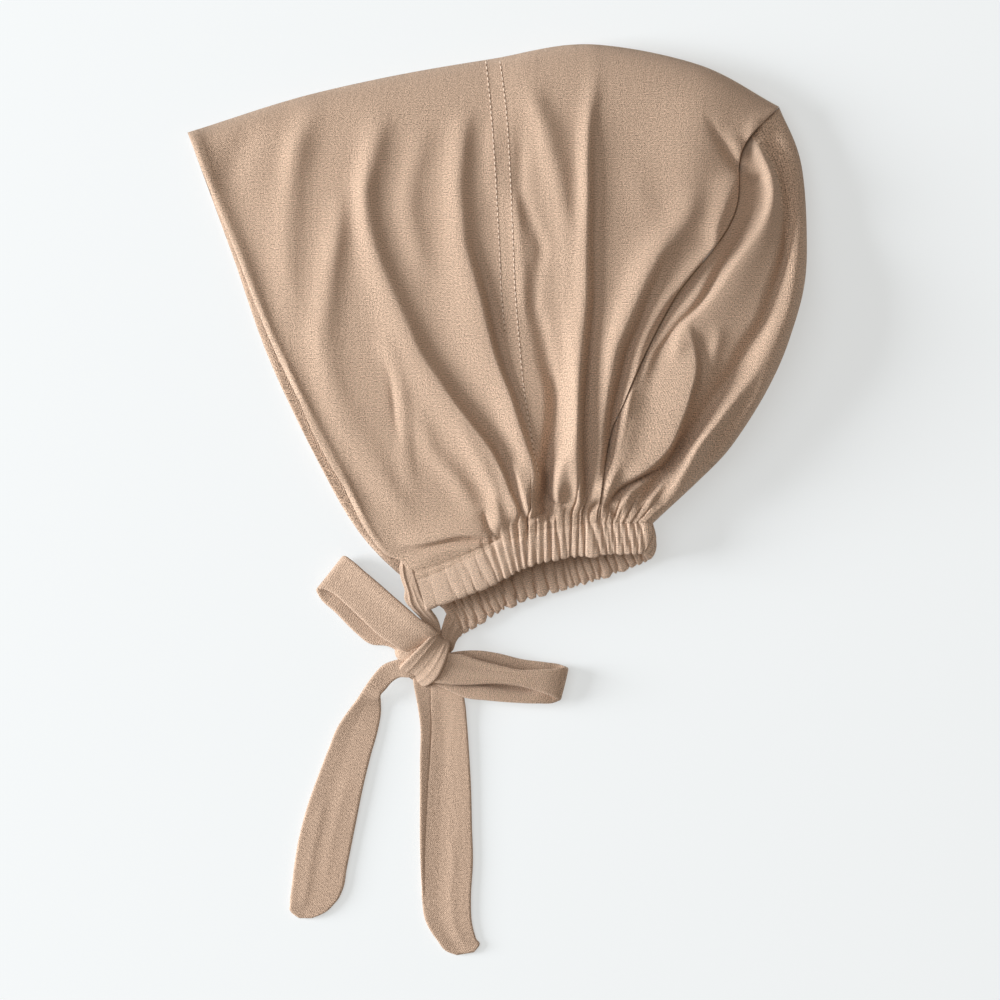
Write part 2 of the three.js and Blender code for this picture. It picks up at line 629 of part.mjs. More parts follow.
// A strand ends at the knot, a sewing gap short of it
function cutAtKnot(geometry) {
  const mesh = asSolid(geometry).subtract(asSolid(knotGeometry(sewnGap))).getMesh()
  const cut = new THREE.BufferGeometry()
  cut.setAttribute('position', new THREE.BufferAttribute(new Float32Array(mesh.vertProperties), mesh.numProp))
  cut.setIndex(new THREE.BufferAttribute(new Uint32Array(mesh.triVerts), 1))
  return cut
}

const cap = new THREE.Group()

function addPiece(name, geometry, color, roughness) {
  const material = new THREE.MeshStandardMaterial({ color, roughness, metalness: 0 })
  const mesh = new THREE.Mesh(geometry, material)
  mesh.name = name
  cap.add(mesh)
}

const jerseyColor = 0xc5aa92
const tieColor = 0xbfa38a
const casingColor = 0xc0a18c
const roughCloth = 0.95

addPiece('crown_panel', wallGeometry(crownColumns, CROWN_STATIONS, crownPoint), jerseyColor, roughCloth)
addPiece('back_panel', wallGeometry(backColumns, BACK_STATIONS, backPoint), jerseyColor, roughCloth)
addPiece('nape_casing', casingGeometry(), casingColor, roughCloth)
const STUBS = [
  { name: 'tie_near', place: 0, away: -1, swing: 7, level: 0.8 },
  { name: 'tie_far', place: 1, away: 1, swing: 5, level: 0.4 },
]
STUBS.forEach((stub) => addPiece(stub.name, cutAtKnot(stubGeometry(stub)), tieColor, roughCloth))
addPiece('bow_knot', knotGeometry(0), tieColor, roughCloth)

const loopHeight = loopGap + tieThick
const tailHeight = knotHeight / 4
const STRANDS = [
  { name: 'bow_loop_left', rows: LEFT_LOOP, steps: loopSteps, reach: leftLoopReach, height: loopHeight },
  { name: 'bow_loop_right', rows: RIGHT_LOOP, steps: loopSteps, reach: rightLoopReach, height: loopHeight },
  { name: 'bow_tail_left', rows: LEFT_TAIL, steps: tailSteps, reach: tailReach, height: tailHeight },
  { name: 'bow_tail_right', rows: RIGHT_TAIL, steps: tailSteps, reach: tailReach, height: tailHeight },
]
STRANDS.forEach((strand) => addPiece(strand.name, cutAtKnot(strandGeometry(strand)), tieColor, roughCloth))

const bounds = new THREE.Box3().setFromObject(cap)
const centre = bounds.getCenter(new THREE.Vector3())
cap.position.set(-centre.x, -centre.y, -bounds.min.z)

export default cap
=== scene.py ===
import bmesh
import bpy
import numpy as np
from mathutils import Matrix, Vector
from mathutils.bvhtree import BVHTree


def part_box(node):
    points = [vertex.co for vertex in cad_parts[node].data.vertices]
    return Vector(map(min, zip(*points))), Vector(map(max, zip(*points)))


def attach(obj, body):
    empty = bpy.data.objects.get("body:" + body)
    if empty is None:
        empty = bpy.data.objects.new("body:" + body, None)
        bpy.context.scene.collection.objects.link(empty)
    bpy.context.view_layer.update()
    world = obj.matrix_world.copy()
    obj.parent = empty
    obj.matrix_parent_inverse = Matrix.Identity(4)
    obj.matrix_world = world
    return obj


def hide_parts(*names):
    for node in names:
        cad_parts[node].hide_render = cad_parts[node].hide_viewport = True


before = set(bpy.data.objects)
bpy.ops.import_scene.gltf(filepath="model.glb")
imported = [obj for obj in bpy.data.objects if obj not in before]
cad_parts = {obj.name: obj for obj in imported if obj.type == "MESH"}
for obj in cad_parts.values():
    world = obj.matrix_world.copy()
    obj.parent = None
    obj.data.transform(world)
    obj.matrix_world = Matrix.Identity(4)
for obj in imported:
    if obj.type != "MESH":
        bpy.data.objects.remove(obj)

bl_info = {
    "name": "Jersey Underscarf Cap",
    "version": (1, 0, 0),
    "blender": (4, 5, 0),
    "location": "View3D > Sidebar > Cap",
    "description": "Makes a gathered jersey underscarf cap lying on its side, with its tie in a bow",
    "category": "Add Mesh",
}

# The cap is drawn on a square chart of 1000 by 1000 units, seen from above, with y down.
# Heights are in millimetres above the floor.
UNIT_MM = 0.46
MM = 0.001
CHART_CORNER_X = 188
CHART_TOP_Y = 45
CHART_MIDDLE = 500
crown_low, crown_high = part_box("crown_panel")
CENTRE_X = CHART_CORNER_X - crown_low.x / MM / UNIT_MM
CENTRE_Y = CHART_TOP_Y + crown_high.y / MM / UNIT_MM


def to_plan(x, y):
    """Chart units to millimetres in the frame."""
    return (np.asarray(x, float) - CENTRE_X) * UNIT_MM, (CENTRE_Y - np.asarray(y, float)) * UNIT_MM


def to_chart(x, y):
    """Millimetres in the frame to chart units."""
    return np.asarray(x) / UNIT_MM + CENTRE_X, CENTRE_Y - np.asarray(y) / UNIT_MM


def along(places, values, at):
    """A smooth curve through table values, read at places of any shape."""
    places, values = np.asarray(places, float), np.asarray(values, float)
    at = np.clip(np.asarray(at, float), places[0], places[-1])
    gaps = np.diff(places).reshape((-1,) + (1,) * (values.ndim - 1))
    rise = np.diff(values, axis=0) / gaps
    inner = (gaps[1:] * rise[:-1] + gaps[:-1] * rise[1:]) / (gaps[1:] + gaps[:-1])
    slope = np.concatenate([rise[:1], inner, rise[-1:]])
    i = np.clip(np.searchsorted(places, at, side="right") - 1, 0, len(places) - 2)
    span = places[i + 1] - places[i]
    s = (at - places[i]) / span

    def pick(table, k):
        if table.ndim == 1:
            return table[k]
        return np.take_along_axis(np.broadcast_to(table, table.shape[:1] + at.shape), k[None], axis=0)[0]

    left = (1 + 2 * s) * (1 - s) ** 2 * pick(values, i) + s * (1 - s) ** 2 * span * pick(slope, i)
    right = s * s * (3 - 2 * s) * pick(values, i + 1) + s * s * (s - 1) * span * pick(slope, i + 1)
    return left + right


def smoothstep(x, low, high):
    s = np.clip((np.asarray(x, float) - low) / (high - low), 0, 1)
    return s * s * (3 - 2 * s)


def mix(a, b, share):
    return a + (b - a) * share


def running_length(points):
    """How far along a line of points each one lies."""
    return np.concatenate([[0], np.cumsum(np.linalg.norm(np.diff(points, axis=0), axis=1))])


def smooth_line(rows, count):
    """A dense smooth line through given rows of numbers whose first two are its chart place."""
    rows = np.asarray(rows, float)
    places = running_length(rows[:, :2])
    at = np.linspace(0, places[-1], count)
    return np.stack([along(places, column, at) for column in rows.T], axis=1)


def nearest_on(line, x, y):
    """The nearest place on a line of points: its segment, the share of that, the distance and the side,
    which is above 0 to the left of a line that runs down the chart."""
    start, way = line[:-1], np.diff(line, axis=0)
    off_x, off_y = x[:, None] - start[:, 0], y[:, None] - start[:, 1]
    at = np.clip((off_x * way[:, 0] + off_y * way[:, 1]) / (way ** 2).sum(1), 0, 1)
    gaps = np.hypot(off_x - at * way[:, 0], off_y - at * way[:, 1])
    k = gaps.argmin(axis=1)
    each = np.arange(len(k))
    side = way[k, 0] * off_y[each, k] - way[k, 1] * off_x[each, k]
    return k, at[each, k], gaps[each, k], side


# The elastic casing is one band: near run, turn at the right, far run. Rows: x, y, level in mm.
CASING_WIDTH = 17.5
CASING_THICK = 5.0
SEWN_GAP = 0.4
NEAR_RUN = [(419.5, 592.4, 12.0), (479.4, 570.4, 15.15), (529.4, 546.5, 16.5),
            (579.4, 537.6, 16.5), (644.3, 534.6, 16.5)]
FAR_RUN = [(449.8, 619.8, 2.5), (512.8, 584.7, 2.5), (587.5, 563.8, 2.5), (644.3, 542.4, 2.5)]
TURN_REACH = 2.8
TURN_BOW = 2.4
TURN_STEP = 5
LINE_POINTS = 400
TANGENT_STEP = 0.004
# How far past its ends the turn's round end goes on, as a share of the turn
BOW_RUN = 0.4
# The cap's cloth starts a little inside the casing, so that the gathers run on without a step
SEAM_OVERLAP = 3.6
SEAM_LEVEL = 2.38


def unit(ways):
    return ways / np.linalg.norm(ways, axis=-1, keepdims=True)


class CasingLine:
    """The middle line of the casing, with its frame at any place from 0 to 1."""

    def __init__(self):
        near, far = self.run(NEAR_RUN), self.run(FAR_RUN)[::-1]
        middle = (near[-1] + far[0]) / 2
        angles = np.radians(np.arange(TURN_STEP, 180, TURN_STEP))[:, None]
        turn = middle + (near[-1] - middle) * np.cos(angles)
        turn[:, 0] += TURN_REACH * np.sin(angles[:, 0])
        self.points = np.concatenate([near, turn, far])
        self.lengths = running_length(self.points)
        self.total = self.lengths[-1]
        self.near_share = self.lengths[len(near) - 1] / self.total
        self.far_share = 1 - self.lengths[len(near) + len(turn)] / self.total
        self.far_start = 1 - self.far_share

    @staticmethod
    def run(rows):
        line = smooth_line(rows, LINE_POINTS)
        return np.stack([*to_plan(line[:, 0], line[:, 1]), line[:, 2]], axis=1)

    def point(self, place):
        at = np.clip(place, 0, 1) * self.total
        return np.stack([np.interp(at, self.lengths, column) for column in self.points.T], axis=-1)

    def tangent(self, place):
        place = np.asarray(place)
        return unit(self.point(place + TANGENT_STEP) - self.point(place - TANGENT_STEP))

    def flat_across(self, place):
        way = self.tangent(place)
        return unit(np.stack([way[..., 1], -way[..., 0], np.zeros(way.shape[:-1])], axis=-1))

    def turn_share(self, place):
        """How far round the turn a place is: 0 at its near end, 1 at its far end."""
        return (np.asarray(place, float) - self.near_share) / (self.far_start - self.near_share)

    def frame(self, place):
        """Middle, direction, width towards the neck, and outward side at places."""
        place = np.asarray(place, float)
        middle, direction = self.point(place), self.tangent(place)
        near_edge, far_edge = self.flat_across(self.near_share), -self.flat_across(self.far_start)
        turning = mix(near_edge, far_edge, np.clip(self.turn_share(place), 0, 1)[..., None])
        turning = unit(turning - direction * np.sum(turning * direction, axis=-1, keepdims=True))
        flat = self.flat_across(place) * np.where(place >= self.far_start, -1, 1)[..., None]
        outside = ((place <= self.near_share) | (place >= self.far_start))[..., None]
        width = np.where(outside, flat, turning)
        return middle, direction, width, np.cross(width, direction)

    def bow(self, place, across):
        """How far the turn's round end curves back at mm across the band."""
        share = np.clip(self.turn_share(place), -BOW_RUN, 1 + BOW_RUN)
        bent = np.sin(np.pi * (share + BOW_RUN) / (1 + 2 * BOW_RUN)) * (across / (CASING_WIDTH / 2)) ** 2
        return TURN_BOW * bent[..., None] * np.array([-1, 0, 0])

    def sewn_edge(self, place):
        """Where the cap's cloth starts, inside the edge that it is sewn to."""
        middle, _, width, _ = self.frame(place)
        across = CASING_WIDTH / 2 + SEWN_GAP - SEAM_OVERLAP
        return middle - width * across + self.bow(place, across)

    def across_of(self, x, y, far):
        """Place along the band in mm, and mm across towards the neck, of a chart place on a run."""
        x, y = to_plan(x, y)
        gaps = np.hypot(self.points[:, 0] - x, self.points[:, 1] - y)
        shares = self.lengths / self.total
        off_run = shares < self.far_start if far else shares > self.near_share
        k = np.where(off_run, np.inf, gaps).argmin()
        return self.lengths[k], gaps[k] * np.sign(self.points[k, 1] - y)


casing = CasingLine()


def near_place(gather):
    """Place along the casing of a share of its near run."""
    return np.asarray(gather) * casing.near_share


def far_place(gather):
    return 1 - np.asarray(gather) * casing.far_share


def turn_place(share):
    return mix(casing.near_share, casing.far_start, share)


# Ruffle valleys of the casing. Rows: x, y of a place near the cap and of one near the neck, depth in mm,
# how much deeper it gets towards the neck, and how far it runs on into the cap in mm.
NEAR_VALLEYS = [
    (431, 581, 439, 606, 0.12, 0.9, 1), (446, 572, 458, 599, 0.25, 0.9, 1),
    (457, 565, 469, 593, 0.16, 0.9, 1), (464, 561, 477, 589, 0.4, 0.8, 1),
    (475, 555, 488, 583, 0.25, 0.8, 1), (485, 549, 497, 580, 0.7, 0.5, 1.5),
    (493, 544, 503, 577, 1.3, 0.1, 2), (501, 541, 510, 574, 0.8, 0, 2.5), (510, 538, 516, 571, 1.3, 0.1, 3),
    (517, 526, 522, 568, 1.9, -0.2, 5), (528, 518, 528, 568, 2.6, -0.3, 9),
    (536, 524, 536, 566, 1.5, 0.1, 3), (543, 528, 543, 566, 1.3, 0.2, 3),
    (550, 518, 551, 566, 2.4, -0.1, 7), (556, 524, 560, 561, 1.8, 0.2, 4), (564, 520, 566, 558, 0.9, 0, 3),
    (571, 512, 571, 558, 2.5, -0.2, 12), (578, 518, 578, 558, 2.1, 0, 7),
    (583, 518, 585, 560, 2.4, -0.1, 9), (589, 519, 600, 557, 1.3, 0.3, 3), (597, 512, 606, 552, 1.9, 0, 4),
    (604, 512, 611, 550, 1.0, 0, 3), (610, 512, 615, 550, 2.1, -0.2, 7), (617, 518, 623, 550, 1.2, 0, 3),
    (622, 512, 630, 549, 1.9, 0, 6), (630, 514, 638, 549, 1.8, 0, 5), (637, 516, 645, 549, 1.6, 0, 4),
]
FAR_VALLEYS = [
    (456, 606, 462, 630, 1.7), (462, 600, 469, 626, 2.0), (470, 598, 478, 622, 1.6),
    (478, 594, 489, 620, 2.8), (486, 592, 495, 614, 2.0), (494, 590, 501, 610, 1.5),
    (502, 582, 506, 606, 2.5), (512, 576, 518, 600, 3.0), (522, 574, 527, 597, 1.4),
    (533, 570, 537, 595, 2.7), (544, 566, 549, 592, 2.7), (554, 564, 559, 589, 1.4),
    (562, 562, 568, 586, 2.2), (568, 560, 574, 583, 1.5), (575, 558, 580, 582, 2.1),
    (582, 558, 588, 580, 1.9), (590, 556, 595, 578, 1.5), (597, 555, 602, 577, 2.0),
    (605, 553, 612, 572, 1.9), (613, 552, 618, 570, 1.4), (621, 550, 628, 566, 1.6),
    (630, 548, 636, 564, 1.2), (639, 546, 644, 560, 1.2),
]
# Rows: share of the turn, depth in mm
TURN_VALLEYS = [(0.12, 1.5), (0.3, 1.2), (0.5, 1.5), (0.72, 1.1), (0.9, 1.4)]


def valley_row(row, far=False):
    """A valley's place along the band in mm at the cap's edge and at the neck's, depth, bias and run on."""
    first, first_across = casing.across_of(*row[:2], far)
    last, last_across = casing.across_of(*row[2:4], far)
    slant = (last - first) / (last_across - first_across)
    ends = [first + slant * (edge * CASING_WIDTH / 2 - first_across) for edge in (-1, 1)]
    return (*ends, *(row[4:] if len(row) > 5 else (row[4], 0, 3)))


END_GAP = 3.0
VALLEYS = [
    (-END_GAP, -END_GAP, 0.2, 0, 1),
    *[valley_row(row) for row in NEAR_VALLEYS],
    *[(*[turn_place(share) * casing.total] * 2, depth, 0, 4) for share, depth in TURN_VALLEYS],
    *[valley_row(row, True) for row in reversed(FAR_VALLEYS)],
    (casing.total + END_GAP, casing.total + END_GAP, 1.0, 0, 3),
]
# Ridges: how much a wide one stands up, from which gap in mm on, and the least gap
RUFFLE_CREST = 0.25
RUFFLE_EVEN_GAP = 3.2
RUFFLE_LEAST_GAP = 0.8
CREST_RUN_ON = 4
CREST_LIMITS = (-0.4, 1.2)
CREST_DEPTHS = (0.2, 1)
# Valleys: half width in mm, share of the depth, how blunt they are, and their run on into the cap
VALLEY_HALF = 1.35
VALLEY_DEPTH = 0.95
VALLEY_BLUNT = 0.4
VALLEY_RUN_ON = 1.5
# Waver of the valleys: size in mm, turns in radians per mm across and along
WAVER = (0.42, 0.4, 1.7)


def ruffle(distance, across, beyond=0.0):
    """Depth below the band's ridges, which are round between sharp valleys. distance and across: mm along
    and across the band from its middle line, across towards the neck. beyond: mm past the sewn edge."""
    distance, across, beyond = np.broadcast_arrays(distance, across, beyond)
    neck = np.clip(across / CASING_WIDTH + 0.5, 0, 1)
    at = distance + WAVER[0] * np.sin(across * WAVER[1] + distance * WAVER[2])
    total = np.zeros(distance.shape)
    for left, right in zip(VALLEYS[:-1], VALLEYS[1:]):
        start = mix(left[0], left[1], neck)
        gap = np.maximum(mix(right[0], right[1], neck) - start, RUFFLE_LEAST_GAP)
        share = (at - start) / gap
        inside = (share >= 0) & (share < 1)
        share = np.clip(share, 0, 1)
        ridge = np.zeros(distance.shape)
        half = np.minimum(VALLEY_HALF, gap / 2)
        for valley, away in ((left, share * gap), (right, (1 - share) * gap)):
            reach = np.clip(away / half, 0, 1)
            fade = np.exp(-(beyond / (VALLEY_RUN_ON * valley[4])) ** 2)
            depth = valley[2] * (1 + valley[3] * (2 * neck - 1)) * fade
            curve = mix(np.sqrt(2 * reach - reach ** 2), np.sin(np.pi / 2 * reach), VALLEY_BLUNT)
            ridge += VALLEY_DEPTH * depth * (1 - curve)
        crest = np.clip(RUFFLE_CREST * (gap - RUFFLE_EVEN_GAP), *CREST_LIMITS) * np.sin(np.pi * share)
        crest = crest * np.clip((left[2] + right[2]) / 2, *CREST_DEPTHS)
        total = np.where(inside, ridge - crest * np.exp(-(beyond / CREST_RUN_ON) ** 2), total)
    return total


# Net of the near layer: chart places at ROWS above the casing, from the face edge to the back seam.
# cloth: place across the cloth. gather: place along the casing. lift: heights in mm at LIFT_ROWS above it.
ROWS = [0, 0.08, 0.30, 0.54, 0.77, 0.88, 1]
LIFT_ROWS = [0, 0.3, 0.6, 0.9, 1]
MERIDIANS = [
    dict(cloth=0, gather=0, lift=(11.4, 12, 7.2),
         line=[(384, 553), (333, 463), (275, 350), (231, 240), (209, 187), (188, 133)]),
    dict(cloth=0.19, gather=0.1, lift=(14.7, 14.3, 9.7),
         line=[(418, 546), (343, 455), (303, 345), (302, 225), (299, 160), (300, 98)]),
    dict(cloth=0.36, gather=0.46, lift=(18.4, 17.9, 12.7),
         line=[(513, 495), (478, 428), (412, 330), (374, 215), (381, 145), (398, 76)]),
    dict(cloth=0.52, gather=0.55, lift=(20.7, 20.2, 15.2),
         line=[(537, 480), (521, 405), (508, 300), (501, 180), (498, 120), (493, 60)]),
    dict(cloth=0.69, gather=0.72, lift=(21.9, 22.1, 16.6),
         line=[(584, 478), (584, 400), (591, 290), (591, 170), (592, 110), (592, 46)]),
    dict(cloth=0.84, gather=0.76, lift=(22.5, 23.9, 17.0),
         line=[(592, 475), (598, 400), (629, 297), (680, 195), (692, 130), (697, 66)]),
    dict(cloth=1, gather=0.8, lift=(21.2, 23.0, 14.3),
         line=[(604, 465), (624, 400), (671, 303), (735, 208), (741, 152), (778, 108)]),
]
CLOTH = np.array([m["cloth"] for m in MERIDIANS])
GATHER = np.array([m["gather"] for m in MERIDIANS])


def build_net():
    """The x, y and height columns of each meridian, from the casing up, in mm."""
    columns = []
    for m in MERIDIANS:
        start = casing.sewn_edge(near_place(m["gather"]))
        x, y = to_plan(*zip(*m["line"]))
        columns.append((np.array([start[0], *x]), np.array([start[1], *y]),
                        np.array([start[2] + SEAM_LEVEL, *m["lift"], m["lift"][-1]])))
    return columns


NET = build_net()


def net_read(part, rows, u, w):
    """A part of the net: u from the face edge to the back seam, w from the casing up."""
    u, w = np.broadcast_arrays(np.asarray(u, float), np.asarray(w, float))
    return along(CLOTH, np.stack([along(rows, column[part], w) for column in NET]), u)


def near_plan(u, w):
    """Place in the plan of the near layer."""
    return net_read(0, ROWS, u, w), net_read(1, ROWS, u, w)


def near_height(u, w):
    return net_read(2, LIFT_ROWS, u, w)


def column_length(u):
    """Length in the plan of a column of the near layer from the casing to the top."""
    (low_x, low_y), (high_x, high_y) = near_plan(u, 0), near_plan(u, 1)
    return np.hypot(high_x - low_x, high_y - low_y)


# How far the far layer shows past the face edge. Rows: place from the casing up, units
FAR_PEEK = [(0, 0), (0.1, 4), (0.25, 6.4), (0.45, 5.4), (0.65, 3), (0.85, 0.8), (1, 0)]
PEEK_DEPTH = 0.25
FAR_GATHER_ROWS = 0.3


def far_plan(u, w):
    """The far layer follows the near one, peeks out at the face edge and runs to its own casing."""
    x, y = near_plan(u, w)
    gather = along(CLOTH, GATHER, u)
    shift = casing.sewn_edge(far_place(gather)) - casing.sewn_edge(near_place(gather))
    pull = np.maximum(0, 1 - w / FAR_GATHER_ROWS) ** 2
    peek = along(*zip(*FAR_PEEK), w) * (1 - smoothstep(u, 0, PEEK_DEPTH))
    return x + pull * shift[..., 0] - peek, y + pull * shift[..., 1]


# Half widths out to which a fold counts, points along it, and mm from the casing to its full rise
FOLD_REACH = 2.6
FOLD_POINTS = 60
FULL_FOLD_REACH = 7.0


def fold(*rows, power=2, lean=0, foot=0.4):
    """A fold's dense line, with the widths filled in that its rows leave out, and its form."""
    filled, widths = [], ()
    for row in rows:
        widths = row[3:] or widths
        filled.append((*row[:3], *widths))
    return smooth_line(filled, FOLD_POINTS), power, lean, foot


